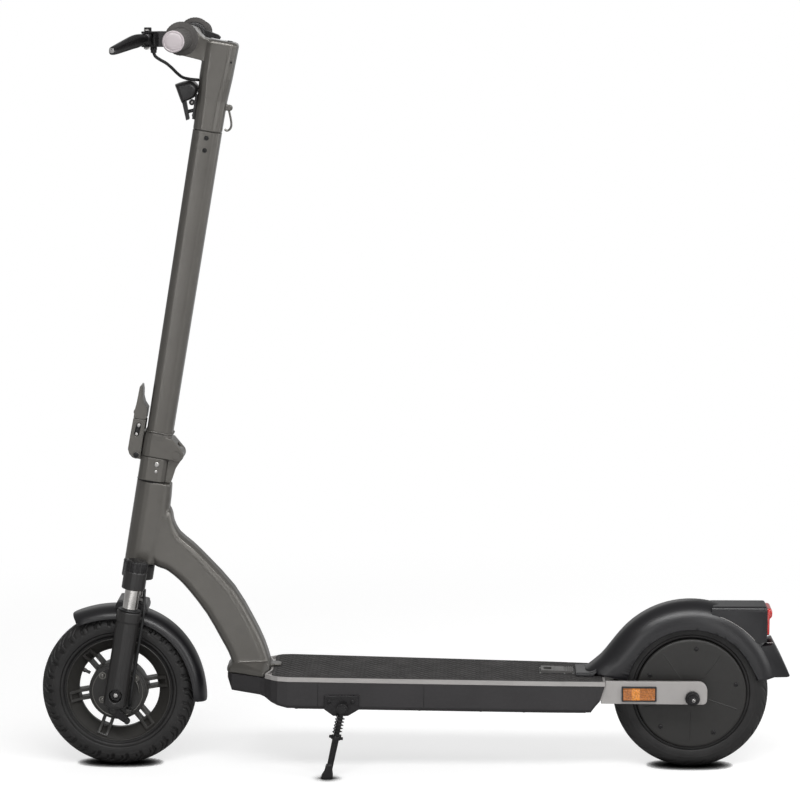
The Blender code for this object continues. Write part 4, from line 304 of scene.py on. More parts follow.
def ring(radius, level, count, axis="Z", centre=(0, 0)):
    """Points round a centre at a level along an axis. The radius is one number or one for each point."""
    t = turns(count)
    a, b = centre[0] + radius * np.cos(t), centre[1] + radius * np.sin(t)
    return stacked(a, level, b) if axis == "Y" else stacked(a, b, level)


def hexagon(count):
    """How far a hexagon reaches at equal steps round it, as shares of its corner's radius."""
    corner = math.pi / 6
    return math.cos(corner) / np.cos(turns(count) % (2 * corner) - corner)


def revolved(radius, along, t):
    """Sections turned about Y by the angles t. Radius and along have a value for each point, or for each turn too."""
    return stacked(radius * np.cos(t)[:, None], along, radius * np.sin(t)[:, None])


def curve_through(points, steps):
    """Catmull-Rom points through the given ones."""
    out = []
    last = len(points) - 1
    for i in range(last):
        p0, p1, p2, p3 = (points[min(max(i + k, 0), last)] for k in (-1, 0, 1, 2))
        for step in range(steps):
            t = step / steps
            out.append(tuple(0.5 * (2 * b + (c - a) * t + (2 * a - 5 * b + 4 * c - d) * t * t
                                    + (3 * b - a - 3 * c + d) * t ** 3)
                             for a, b, c, d in zip(p0, p1, p2, p3)))
    out.append(tuple(points[last]))
    return out


def resampled(points, count):
    """Evenly spaced points along a polyline, as an array."""
    points = np.array(points, float)
    steps = np.linalg.norm(np.diff(points, axis=0), axis=1)
    at = np.concatenate([[0.0], np.cumsum(steps)])
    want = np.linspace(0.0, at[-1], count)
    return np.stack([np.interp(want, at, column) for column in points.T], axis=-1)


def rounded_rect(half_x, half_y, corner, steps=6, centre=(0, 0)):
    points = []
    for sx, sy, start in ((1, 1, 0), (-1, 1, 90), (-1, -1, 180), (1, -1, 270)):
        for i in range(steps + 1):
            t = math.radians(start + 90 * i / steps)
            points.append((centre[0] + sx * (half_x - corner) + corner * math.cos(t),
                           centre[1] + sy * (half_y - corner) + corner * math.sin(t)))
    return points


def facing(position, normal, turn=0.0):
    """The matrix that puts +Z of a small part along a normal at a position."""
    aim = Vector(normal).to_track_quat("Z", "Y").to_matrix().to_4x4()
    return Matrix.Translation(position) @ aim @ Matrix.Rotation(turn, 4, "Z")


# Meshes


class Build:
    def __init__(self):
        self.bm = bmesh.new()

    def skin(self, rings, closed=False, place=WORLD):
        """Adds a skin over rings of equally many points: capped at both ends, or closed from the last to the first."""
        points = np.array(rings, float)
        rows, across = points.shape[:2]
        i = np.arange(rows if closed else rows - 1)[:, None]
        k = np.arange(across)[None, :]
        steps = ((0, 0), (0, 1), (1, 1), (1, 0))
        corners = [(i + down) % rows * across + (k + right) % across for down, right in steps]
        faces = np.stack(corners, axis=-1).reshape(-1, 4).tolist()
        if not closed:
            faces += [list(range(across))[::-1], list(range((rows - 1) * across, rows * across))]
        mesh = bpy.data.meshes.new("part")
        mesh.from_pydata(points.reshape(-1, 3).tolist(), [], faces)
        mesh.transform(place)
        self.bm.from_mesh(mesh)
        bpy.data.meshes.remove(mesh)
        return self

    def across(self, levels, section, place=WORLD):
        """Adds a skin from side to side over the (x, z) points that section gives for each (y, value) of the levels."""
        return self.skin([[(x, y, z) for x, z in section(y, value)] for y, value in levels], place=place)

    def lathe(self, profile, count=64, axis="Y", centre=(0, 0), closed=False, place=WORLD):
        """Adds a (radius, along) profile turned about an axis, with flat ends or as a closed section."""
        return self.skin([ring(radius, along, count, axis, centre) for radius, along in profile], closed, place)

    def sweep(self, points, radius, count=14):
        """Adds a round tube along the points. The radius is one number or one for each point."""
        points = [Vector(p) for p in points]
        radii = radius if isinstance(radius, list) else [radius] * len(points)
        side = (points[1] - points[0]).orthogonal().normalized()
        rings = []
        for i, point in enumerate(points):
            ahead = (points[min(i + 1, len(points) - 1)] - points[max(i - 1, 0)]).normalized()
            side = (side - side.dot(ahead) * ahead).normalized()
            other = ahead.cross(side)
            rings.append([point + a * side + b * other for a, b, _ in ring(radii[i], 0, count).tolist()])
        return self.skin(rings)

    def slab(self, outline, low, high, ease, axis="Z", place=WORLD):
        """Adds an outline drawn out along an axis, with its two rims eased by a small chamfer."""
        middle = np.mean(outline, axis=0)
        span = np.abs(outline - middle).max()
        rings = []
        for level, by in ((low, ease), (low + ease, 0.0), (high - ease, 0.0), (high, ease)):
            x, y = (middle + (outline - middle) * (1 - by / span)).T
            rings.append(stacked(x, level, y) if axis == "Y" else stacked(x, y, level))
        return self.skin(rings, place=place)

    def screw(self, position, normal, radius, height, drive="hex", place=WORLD, turn=0.3):
        """Adds a button-head screw: a domed head with a socket or a cross in it."""
        count = 24
        reach = hexagon(count)
        if drive == "cross":
            reach = np.where(np.isin(np.arange(count) % 6, (0, 1, 5)), 1.25, 0.42)
        head = [(1, 0), (1, 0.35), (0.93, 0.68), (0.76, 0.9), (0.6, 1), (reach * 0.46, 1), (reach * 0.46, 0.38)]
        return self.skin([ring(radius * r, height * h, count) for r, h in head],
                         place=place @ facing(position, normal, turn))

    def nut(self, position, normal, radius, height, stud):
        """Adds a hexagon nut with a domed top and the end of a stud."""
        count, turn = 24, 0.2
        rings = [ring(radius * np.minimum(hexagon(count), scale), height * h, count)
                 for scale, h in ((0.94, 0), (1, 0.12), (1, 0.82), (0.86, 1))]
        rings += [ring(radius * stud * scale, height * h, count) for scale, h in ((1.02, 1), (1, 1.25), (0.8, 1.35))]
        return self.skin(rings, place=facing(position, normal, turn))

    def socket_bolt(self, position, side, radius, depth=0.002):
        """Adds a recessed bolt on a side of the stem: a ring with a domed socket head in it."""
        section = [(radius * r, depth * h) for r, h in ((0.62, 0), (1, 0), (1, 0.45), (0.9, 0.62), (0.62, 0.5))]
        normal = (0, side, 0)
        self.lathe(section, 40, "Z", closed=True, place=STEER @ facing(position, normal))
        return self.screw(position, normal, radius * 0.66, depth * 0.9, place=STEER)

    def finish(self, name, material, body, replaced=(), matrix=WORLD, angle=34):
        """Turns the parts into one piece that rides on a body."""
        bmesh.ops.recalc_face_normals(self.bm, faces=self.bm.faces[:])
        mesh = bpy.data.meshes.new(name)
        self.bm.to_mesh(mesh)
        self.bm.free()
        mesh.transform(matrix)
        mesh.materials.append(material)
        mesh.shade_smooth()
        mesh.set_sharp_from_angle(angle=math.radians(angle))
        piece = put(name, mesh)
        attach(piece, body)
        if replaced:
            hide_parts(*replaced)
        return piece


def bevelled(piece, width, segments, angle):
    edge = piece.modifiers.new("bevel", "BEVEL")
    edge.width = width
    edge.segments = segments
    edge.limit_method = "ANGLE"
    edge.angle_limit = math.radians(angle)
    edge.harden_normals = True


# Pieces that keep their CAD shape


def coloured(node, material):
    piece = NODES[node]
    piece.data.materials.clear()
    piece.data.materials.append(material)
    piece.data.shade_smooth()
    return piece


def soften(node, material, voxel, passes):
    """Keeps a CAD node and rounds its edges: a fine remesh, then smoothing."""
    piece = coloured(node, material)
    remesh = piece.modifiers.new("remesh", "REMESH")
    remesh.mode = "VOXEL"
    remesh.voxel_size = voxel
    remesh.use_smooth_shade = True
    smooth = piece.modifiers.new("smooth", "SMOOTH")
    smooth.factor = 0.5
    smooth.iterations = passes


def dress(node, material, bevel=0.0, sharp=38):
    """Keeps a CAD node, with a new material and small bevels on its sharp edges."""
    piece = coloured(node, material)
    if bevel:
        bevelled(piece, bevel, 2, sharp)
    else:
        piece.data.set_sharp_from_angle(angle=math.radians(sharp))


# Each node has its voxel size or bevel in millimetres, and a softened one its passes too
for material, table in (
        (GREY, "main_frame 1.4 14, stem_head 0.8 14, hinge_lower 0.6 5, hinge_upper 0.6 20, latch_link 0.45 4, "
               "latch_lever 0.5 5"),
        (SATIN, "fork_crown 0.7 5, fork_leg_left 0.7 6, fork_leg_right 0.7 6"),
        (DARK, "brake_arm 0.5 4, kickstand_leg 0.45 4, kickstand_bracket 0.5 4, brake_clamp 0.5 5"),
        (CAST, "brake_plate 0.6 4"), (BLACK, "throttle_paddle 0.5 5"), (WIRE, "bag_hook 0.3 4"),
        (STEEL, "motor_controller 1.2 2")):
    for row in table.split(","):
        node, voxel, passes = row.split()
        soften(node, material, float(voxel) / 1000, int(passes))
for material, table in (
        (DARK, "bottom_cover 0.8, front_axle 0.4, rear_axle 0.6, headset_lower 0, kickstand_spring 0"),
        (SHELL, "deck_housing 1.2"), (SILVER, "deck_trim 0.9"), (GREY, "fold_pin 0.4"), (PLATE, "fold_catch 0.4"),
        (BLACK, "battery_pack 1"), (STEEL, "steerer_tube 0, motor_stator 0"), (GLASS, "display_lens 0"),
        (SATIN, "motor_shell 0")):
    for row in table.split(","):
        node, bevel = row.split()
        dress(node, material, float(bevel) / 1000)


# Wheels


def make_tyre(end, hub, turn, notch_from, notch_depth):
    """A tyre with slanted shoulder grooves, a fine centre groove and rings on its sidewalls."""
    around, across, grooves = 1080, 109, 30
    half = curve_through(mm("127 0, 126.8 6.5, 125.6 12.5, 123 17.6, 118.8 22, 113 25.2, 106.5 26.7, 100 26.9, "
                            "94.5 25, 90 21.4, 86.8 19.3, 83.4 19"), 12)
    section = resampled(half[::-1] + sided(half[1:]), across)
    tangent = np.gradient(section, axis=0)
    normal = np.stack([tangent[:, 1], -tangent[:, 0]], axis=-1)
    normal /= np.linalg.norm(normal, axis=1)[:, None]
    normal *= np.sign((normal * (section - np.array([0.1, 0.0]))).sum(axis=1))[:, None]
    radius, y = section.T
    wide = np.abs(y)
    rise = np.zeros(across)
    for place, height, width in mm("108.5 0.5 0.8, 104.5 0.3 0.6, 97.5 0.5 0.6, 94.5 -1.4 0.9, 91.5 0.6 0.8, "
                                   "88.5 -0.9 0.7"):
        rise += height * np.exp(-((radius - place) / width) ** 2)
    rise -= 0.0006 * np.exp(-((wide - 0.0045) / 0.0007) ** 2) * (radius > 0.12)
    t = turns(around)
    pitch = 2 * np.pi / grooves
    share = ramp(wide, 0.0065, 0.017)
    slant = 0.85 * pitch * share ** 1.3 + np.where(y > 0, 0.5 * pitch, 0.0)
    offset = (t[:, None] - slant + pitch / 2) % pitch - pitch / 2
    near = smoothed(ramp(0.0015 + 0.0013 * share - np.abs(offset) * radius, 0, 0.0006))
    depth = notch_depth * near * ramp(wide, 0.0055, 0.0012) * ramp(radius, notch_from, 0.006)
    minor = (t[:, None] - slant * 1.15) % pitch - pitch / 2
    near = ramp(0.0016 - np.abs(minor) * radius, 0, 0.0007)
    depth += 0.7 * notch_depth * near * ramp(wide, 0.0105, 0.001) * ramp(radius, notch_from + 0.0035, 0.005)
    most_r, most_y = 0.12699, 0.02699
    r = np.minimum(radius + (rise - depth) * normal[:, 0], most_r)
    y = np.clip(y + (rise - depth) * normal[:, 1], -most_y, most_y)
    Build().skin(revolved(r, y, turn + t), closed=True).finish(
        end + "_tyre_skin", TYRE, end + "_wheel", [end + "_tyre"], hub, 60)


make_tyre("front", FRONT_HUB, 0.05, 0.106, 0.003)
make_tyre("rear", REAR_HUB, 0.12, 0.115, 0.0014)


def spoke_height(r):
    """The height of a spoke's face above the wheel's middle plane, which follows the rim's cone."""
    return 0.0112 + 0.0098 * min(1.0, max(0.0, (r - 0.064) / 0.0165))


def spoke_block(near, far, middle, half, face, sunk=0.0, steps=10):
    """A bar from one radius to another with its face at the spokes' height, as rings of points."""
    soft, back = 0.0008, -face * 0.001
    low, high = middle - half, middle + half
    rings = []
    for r in np.linspace(near, far, steps + 1):
        top = face * (spoke_height(r) - sunk)
        edge = top - face * soft
        rings.append([(r, back, low), (r, edge, low), (r, top, low + soft), (r, top, high - soft), (r, edge, high),
                      (r, back, high)])
    return rings


half = mm("66.4 0, 66.4 5, 66.7 5.8, 67.3 6.6, 82.8 19.3, 83.4 20, 83.8 21.2, 84.3 22, 85 22.2, 85.7 21.8, 86 20.8, "
          "85.7 19.9, 85 19.5, 83.4 19.3, 82.9 17.8, 80 12, 77.5 6")
drum = mm("15 30.5, 15.8 30, 16.2 29, 17 18, 20 15.2, 42 11.8, 45.5 11, 47.4 9.2, 48 7, 48 -26.2, 47.4 -27.6, "
          "46.2 -28, 43.2 -28, 42.4 -27.6, 42 -26.2, 42 6, 15 6")
rim = Build().lathe(half + sided(half[1:])[::-1], 192, closed=True).lathe(drum, 128, closed=True)
for pair in range(6):
    turn = placed(0, 0, 0, -(math.radians(10) + 2 * math.pi * pair / 6))
    for face in (-1, 1):
        for side in (-1, 1):
            rim.skin(spoke_block(0.0462, 0.08, side * 0.0068, 0.0026, face, steps=16), place=turn)
        for near, far, half, sunk in mm("65 67.4 5 2.4, 78.4 80.6 9 0.2, 45.8 49 6.2 0"):
            rim.skin(spoke_block(near, far, 0, half, face, sunk), place=turn)
valve = math.radians(154)
out = Vector((math.cos(valve), 0, math.sin(valve)))
rim.lathe(mm("2.4 13, 2.7 11.8, 2.7 5.2, 3.6 4.6, 3.6 0"), 24, "Z", place=facing(0.0668 * out, -out))
rim.finish("front_rim_skin", RIM, "front_wheel", ["front_rim"], FRONT_HUB, 32)

# Bolts and a cast edge on the drum's plate, and hexagon nuts on both ends of the axle
bolts = Build()
for x, z in mm("-24.5 26.2, -25 -14, 30 22"):
    bolts.lathe(mm("2 -32.9, 6.2 -32.9, 6 -34.1, 2 -34.2"), 32, centre=(x, z))
    bolts.screw((x, -0.034, z), (0, -1, 0), 0.004, 0.0028)
bolts.lathe(mm("40.5 -32.9, 40.8 -33.6, 41.8 -33.7, 42.1 -32.9"), 96, closed=True)
steps = 16
for start, turn, reach in ((-128, 66, 0.029), (-8, 58, 0.0345)):
    t = np.radians(start + turn * np.arange(steps + 1) / steps)
    thickness = [0.0004 + 0.0011 * math.sin(math.pi * (i + 1) / (steps + 2)) for i in range(steps + 1)]
    bolts.sweep(stacked(reach * np.cos(t), -0.0331, reach * np.sin(t)), thickness, 8)
bolts.finish("brake_plate_bolts", WIRE, "fork_slider", matrix=FRONT_HUB)
nuts = Build()
for side in (-1, 1):
    nuts.nut((0, side * 0.0577, 0), (0, side, 0), 0.0098, 0.005, 0.56)
    nuts.lathe(sided(mm("3 57.2, 10.8 57.2, 11 57.7, 10.8 58.1, 3 58.1"), side), 48)
nuts.finish("front_axle_nuts", DARK, "fork_slider", matrix=FRONT_HUB)

# A dished cover with a rolled rim, faint pressed ribs and screws
for side, tag in SIDES:
    around, inner = 720, 0.0226
    half = curve_through(mm("16.5 26.2, 17 31.8, 19 32.4, 30 32.4, 56 32, 60 31.95, 62.2 31.91, 64 31.88, 83.5 31.6, "
                            "86.8 31.4, 89 30.6, 90.1 29, 90.3 27, 90.3 26.2, 89.6 24, 88 23"), 6)
    section = resampled(half, 110).tolist()
    r, y = np.array(section + [(section[-1][0], inner), (section[0][0], inner)]).T
    t = turns(around)
    depth = np.tile(y, (around, 1))
    for angle in (125.0, 53.0, -19.0, -91.0, -163.0):
        gap = (np.degrees(t) - angle + 180.0) % 360.0 - 180.0
        rib = np.clip(1 - np.abs(np.radians(gap))[:, None] * r / 0.0007, 0, 1)
        depth += 0.0005 * rib * ramp(r, 0.027, 0.003) * ramp(-r, -0.081, 0.003)
    Build().skin(revolved(r, side * depth, t), closed=True).finish(
        "motor_cover_skin_" + tag, MOTOR, "rear_wheel", ["motor_cover_" + tag], REAR_HUB, 30)
    screws = Build()
    for angle in (84.0, 12.0, -60.0, -132.0, 156.0):
        t = math.radians(angle)
        spot = (0.0745 * math.cos(t), side * 0.0312, 0.0745 * math.sin(t))
        screws.screw(spot, (0, side, 0), 0.0036, 0.0021, turn=t)
    screws.finish("motor_screws_" + tag, DARK, "rear_wheel", matrix=REAR_HUB)


# Mudguards


REAR_GUARD_HALF = 0.0381
REAR_GUARD_OUTER = 0.1511
REAR_SHOULDER = (0.0345, 0.0395)


def make_guard(end, centre_x, stations, half_width, wall, shoulder, body):
    """A channel bent round a wheel, with elliptic shoulders (across, radial), a rolled skirt and eased ends."""
    across, drop = shoulder
    rings = []
    for degrees, outer, skirt, narrow in stations:
        half = half_width - narrow
        bend = min(across, half - 0.002)
        skins = []
        for by in (0.0, wall):
            side = [(skirt, half - 0.0006 - by), (skirt + 0.0006, half - by)]
            for q in np.linspace(0, math.pi / 2, 15):
                side.append((outer - drop + (drop - by) * math.sin(q), half - bend + (bend - by) * math.cos(q)))
            skins.append(side + sided(side)[::-1])
        t = math.radians(degrees)
        rings.append([(centre_x + r * math.cos(t), y, WHEEL_R + r * math.sin(t)) for r, y in skins[0] + skins[1][::-1]])
    Build().skin(rings).finish(end + "_guard_skin", GUARD, body, [end + "_fender"], angle=45)


def rear_guard_stations():
    """Stations of the rear guard from its flared tail to its front end: degrees, outer and skirt radius, narrowing."""
    first, last, skirt = 168.6, 11.0, 0.1068
    flare = ((first, 26.2), (166.4, 21.8), (164.0, 16.8), (161.0, 11.2), (157.5, 6.4), (153.0, 3.0), (147.0, 0.8),
             (140.0, 0.0))
    keys = [(t, REAR_GUARD_OUTER + extra / 1000, skirt) for t, extra in flare]
    for t in np.linspace(140.0, last, 22)[1:]:
        keys.append((t, REAR_GUARD_OUTER, skirt + 0.012 * max(0.0, 1 - t / 30.0) ** 2))
    out = []
    for t, outer, skirt in curve_through(keys, 6):
        ease = rounded_end(min(abs(t - first), abs(t - last)) / 1.6)
        out.append((t, outer - 0.0012 * ease, skirt + 0.003 * ease, 0.0012 * ease))
    return out


def front_guard_stations():
    first, span, ends = 121.0, 129.0, 6.0
    out = []
    for share in np.linspace(0, 1, 151):
        flare = 0.006 * abs(2 * share - 1) ** 4
        ease = rounded_end(min(share, 1 - share) * span / ends)
        out.append((first - share * span, 0.1401 + flare - 0.001 * ease, 0.123 + flare / 2 + 0.006 * ease,
                    0.004 * ease))
    return out


make_guard("rear", REAR_X, rear_guard_stations(), REAR_GUARD_HALF, 0.003, REAR_SHOULDER, "frame")
make_guard("front", FRONT_X, front_guard_stations(), 0.0331, 0.0025, (0.0322, 0.02), "fork_slider")


# The rear guard's tongue on the deck, and the front guard's saddle between the fork's legs
rings = []
for x, z in curve_through(mm("264.5 4.8, 266.5 6, 272 6.2, 280 6.3, 288 7.4, 293.5 9.6, 297.5 12.2"), 5):
    half = 0.0365 + 0.001 * (x - 0.2645) / 0.033
    floor = 0.0018 + 1.2 * max(0.0, x - 0.292)
    side = [(half, floor), (half, z - 0.0012), (half - 0.0012, z), (half - 0.01, z + 0.0002), (0.0, z + 0.0004)]
    rings.append([(x, y, h) for y, h in both_ways(side)])
Build().skin(rings).finish("rear_guard_tongue", GUARD, "frame", matrix=DECK, angle=50)
outline = curve_through(mm("-25.5 137.5, -25.5 143, -23.5 147, -19 150.5, 20 150.5, 24.5 147, 26.5 143, 26.5 137"), 6)
outline = resampled(outline, 48).tolist()
levels = both_ways(mm("33 1.2, 32.4 0.4, 31.2 0"))
saddle = Build().across(levels, lambda y, by: [(a * (1 - by / 0.026), h - by * (h > 0.145)) for a, h in outline])
for a in (-0.012, 0.013):
    for y in (-0.018, 0.018):
        saddle.screw((a, y, 0.1503), (0, 0, 1), 0.0038, 0.0022)
saddle.finish("front_guard_saddle", GUARD, "fork_slider", matrix=STEER, angle=40)


# Handlebar and its pieces

# A ribbed grip with a thick round flange at its inner end, and the bar's end cap
for side, tag in SIDES:
    around, flutes, notches = 160, 28, 36
    profile = mm("11.3 125.2, 23.5 125.2, 25.5 125.8, 26.7 127.2, 26.9 129, 26.4 130.6, 25.2 131.6, 20.5 132, "
                 "18.6 132.6, 17.6 134, 17.4 136")
    for y in np.arange(140.0, 250.0, 5.6):
        profile += mm(f"17.4 {y}, 17.4 {y + 1.6}, 16.7 {y + 2.1}, 16.7 {y + 3.4}, 17.4 {y + 3.9}")
    profile += mm("17.4 253, 17.5 256, 17.2 257.2, 17.2 259, 17.5 260.2, 17.4 266.5, 16.8 267.7, 11.3 267.9")
    r, along = np.array(profile).T
    t = turns(around)
    radius = np.tile(r, (around, 1))
    radius[:, (along > 0.1385) & (along < 0.252)] -= 0.00035 * (0.5 + 0.5 * np.cos(flutes * t))[:, None]
    radius[:, (r > 0.025) & (along < 0.132)] -= 0.0004 * (0.5 + 0.5 * np.cos(notches * t))[:, None]
    Build().skin(revolved(radius, side * along, t), closed=True).finish(
        "grip_skin_" + tag, GRIP, "stem", ["grip_" + tag], BAR, 38)
    cap = mm("3 256, 8.6 256, 8.8 256.8, 8.8 268, 15 268.1, 16.6 268.4, 17 269.2, 16.8 270.4, 16 271.3, 15 271.7, "
             "14.4 271.4, 13.8 271.2, 13.2 271.6, 12 272.2, 9 272.7, 5 272.9, 1.4 273")
    Build().lathe(sided(cap, side), 96).finish("grip_cap_skin_" + tag, CAPS, "stem", ["grip_cap_" + tag], BAR, 30)

# The straight tube of the bar, and its three knurled bands
tube = mm("9.1 -267.5, 11.1 -267.5, 11.1 -27, 11.1 27, 11.1 267.5, 9.1 267.5")
Build().lathe(tube, 72, closed=True).finish("bar_skin", DARK, "stem", ["handlebar"], BAR, 30)
bands = Build()
for side, y in ((-1, 30), (1, 30), (1, 93)):
    band = mm(f"11.15 {y}, 13.1 {y}, 13.5 {y + 0.5}, 13.5 {y + 6.5}, 13.1 {y + 7}, 11.15 {y + 7}")
    bands.lathe(sided(band, side), 72, closed=True)
bands.finish("bar_bands", STEEL, "stem", matrix=BAR)

# The throttle's housing ring with its wire pod and screws
profile = mm("11.3 113.7, 18 113.7, 18.9 114.1, 19.5 115, 19.6 118, 19.2 118.8, 19.2 119.4, 19.6 120.2, 19.5 122.8, "
             "18.8 123.9, 17.6 124.5, 11.3 124.5")
housing = Build().lathe(profile, 96, closed=True)
housing.slab(rounded_rect(0.008, 0.0108, 0.0034, centre=(-0.0222, 0)), 0.1141, 0.1239, 0.001, "Y")
for z in (-0.006, 0.006):
    housing.screw((-0.03, 0.119, z), (-1, 0, 0), 0.0021, 0.0012)
housing.finish("throttle_housing_skin", BLACK, "stem", ["throttle_housing"], BAR)

# The lamp: a hooded shell with a lens on its front, on a bent bracket
outline = mm("-25.3 14.1, -21.5 15.8, -16 17.5, -9.5 19.2, -3.2 20.3, 2.5 19.3, 7 16.5, 10.2 12, 10.9 7, 9.1 0.4, "
             "4.7 -6.8, -1.5 -10.5, -8.6 -13.1, -13.5 -15.6, -15.2 -14, -19.3 -3.2, -22.5 6, -24.8 12")
outline = resampled(curve_through(outline + outline[:1], 6), 97)[:-1].tolist()
levels = both_ways([(0.0275, 0.6), (0.0272, 0.7), (0.0262, 0.79), (0.0242, 0.87), (0.021, 0.94),
                    (0.0165, 0.985), (0.011, 0.999), (0.0, 1.0)])
middle = -0.004
shell = Build().across(levels, lambda y, share: [(middle + share * (x - middle), share * z) for x, z in outline],
                       LAMP)
bracket = mm("-23.6 945, -24.6 985, -28.1 985, -27.1 945")
shell.across(both_ways(mm("9.5 0, 9.2 0")), lambda y, _: bracket, STEER)
for h in (0.951, 0.96):
    shell.screw((-0.0274, 0.0, h), (-1, 0, 0), 0.0027, 0.0014, place=STEER)
shell.finish("headlight_skin", BLACK, "stem", ["headlight"], angle=42)
profile = mm("-15.2 -12.8, -8.2 -12.8, -3.5 -40.5, -4 -42.5, -8.6 -44")
strap = Build().across(both_ways([(0.006, 0.02), (0.0055, 0.0)]),
                       lambda y, by: [(x * (1 - by), z) for x, z in profile])
strap.lathe(mm("1 -4.6, 4.4 -4.6, 4.8 -4.2, 4.8 4.2, 4.4 4.6, 1 4.6"), 40, centre=(0.001, -0.015))
strap.sweep(mm("-6 0 -30, 1 0 -28.5, 7.5 0 -28"), 0.003, 16)
strap.finish("headlight_strap", DARK, "stem", matrix=LAMP, angle=40)
Build().screw((0.001, -0.0045, -0.015), (0, -1, 0), 0.002, 0.0014).finish(
    "headlight_screw", STEEL, "stem", matrix=LAMP)
top, foot = Vector((-0.0212, 0, 0.008)), Vector((-0.016, 0, -0.01))
along = foot - top
face = rounded_rect(along.length / 2 - 0.0018, 0.017, 0.0055, 8)
rings = [[(share * p, share * q, level) for p, q in face] for share, level in (
    (1.0, -0.004), (1.0, -0.0012), (0.97, -0.0004), (0.9, 0.0), (0.6, 0.0004), (0.25, 0.0006))]
Build().skin(rings, place=facing((top + foot) / 2, (along.z, 0, -along.x))).finish(
    "headlight_lens", LENS, "stem", matrix=LAMP, angle=30)

# Screws on the bar's clamp and the lever's pivot, and the cable's adjuster
screws = Build().screw((0, 0, 0.0136), (0, 0, 1), 0.0042, 0.0022)
screws.nut((0, 0, -0.0125), (0, 0, -1), 0.0048, 0.0028, 0.5)
for z in (-0.006, 0.008):
    screws.screw((0.0705, 0.0125, z), (1, 0, 0), 0.0026, 0.0016)
screws.finish("lever_screws", STEEL, "stem", matrix=LEVER)
count, flutes = 96, 16
wave = 0.00025 * np.cos(flutes * turns(count))
profile = mm("4 0, 5 -0.6, 5.2 -1.2, 5.2 -5.2, 4.8 -5.8, 3.6 -6.2, 3.6 -10, 3 -10.4")
rings = [ring(r + (r > 0.0049) * wave, z, count) for r, z in profile]
Build().skin(rings, place=placed(0.009, 0.019, -0.012)).finish("cable_adjuster", DARK, "stem", matrix=LEVER)


# Fork

# A chrome tube of the fork, the wiper on the leg below it and the fluted cap on the crown above it
for side, tag in SIDES:
    centre = (0, side * LEG_Y)
    tube = mm("6 60.4, 11.65 60.4, 12.25 61, 12.25 140, 12.25 195, 11.65 200, 6 200")
    Build().lathe(tube, 96, "Z", centre).finish(
        "stanchion_skin_" + tag, CHROME, "steering", ["stanchion_" + tag], STEER, 30)
    wiper = mm("12.35 141.2, 17.8 141.2, 18.6 141.8, 18.7 142.8, 18 143.7, 15 144.3, 14 145.2, 12.35 145.6")
    Build().lathe(wiper, 96, "Z", centre, True).finish("fork_wiper_" + tag, CABLE, "fork_slider", matrix=STEER)
    count, flutes = 192, 24
    cut = 0.0006 * np.maximum(0.0, np.cos(flutes * turns(count)))
    cap = mm("17.6 207.4, 18.1 208, 18.1 222.5, 17.6 224, 16 225.4, 12 226.2, 7 226.4, 6.6 225, 2 224.9")
    rings = [ring(r - (0.2078 < z < 0.2245) * cut, z, count, centre=centre) for r, z in cap]
    Build().skin(rings).finish("fork_cap_" + tag, DARK, "steering", matrix=STEER, angle=30)

# The lower cup's flange with its seal and the upper seal, turned smooth
lower = mm("22.5 210.6, 25.2 210.6, 25.9 211.2, 26.2 212.2, 25.9 213.2, 25.2 213.6, 25.8 214, 25.7 214.4, 22.5 214.4")
upper = mm("21.5 351.2, 25 351.2, 25.4 351.5, 25.4 351.8, 25 352.1, 21.5 352.1")
Build().lathe(lower, 128, "Z", closed=True).lathe(upper, 128, "Z", closed=True).finish(
    "headset_rings", DARK, "frame", matrix=STEER)


# Tail


def on_guard(y, degrees, lift=-0.0012):
    """The (x, z) of a point over the rear guard at a distance from its middle plane."""
    across, drop = REAR_SHOULDER
    past = max(0.0, abs(y) - (REAR_GUARD_HALF - across)) / across
    reach = REAR_GUARD_OUTER - drop * rounded_end(1 - past) + lift
    t = math.radians(degrees)
    return REAR_X + reach * math.cos(t), WHEEL_R + reach * math.sin(t)


def rounded_sides(half, corner, steps=7):
    """Places across a part from side to side, each with how much its rounded edge takes off there."""
    out = []
    for q in np.linspace(0, math.pi / 2, steps + 1):
        out.append((half - corner + corner * math.cos(q), corner * (1 - math.sin(q))))
    return both_ways(out + [(y, 0.0) for y in np.linspace(half - corner, 0.0, 6)[1:]])


def tail_box(y, by):
    """The tail lamp's box at a place across it, cut to the guard's round back."""
    top, rear, corner = 0.2712, 0.576, 0.004
    ring = [on_guard(y, degrees) for degrees in np.linspace(39.0, 76.0, 16)]
    ring = [(x, min(z, top - by)) for x, z in ring]
    ring += [(x, top - by) for x in np.linspace(ring[-1][0], rear - corner, 6)]
    for share in np.linspace(0.2, 1.0, 5):
        q = math.pi / 2 * share
        ring.append((rear - corner + corner * math.sin(q) - by * 0.2 * share,
                     top - corner + corner * math.cos(q) - by))
    return ring + [(rear - by * 0.2, ring[0][1] + 0.001)]


def tail_flap(y, by):
    """The flap under the box at a place across it, cut to the guard's round back."""
    ring = [on_guard(y, degrees) for degrees in np.linspace(11.5, 35.0, 12)]
    ring.append((0.5845 - by, ring[-1][1] + 0.003))
    return ring + [(x - by, z) for x, z in mm("587 211.5, 601.5 183.8, 613.8 157.2, 613 155.6, 610 154.6")]


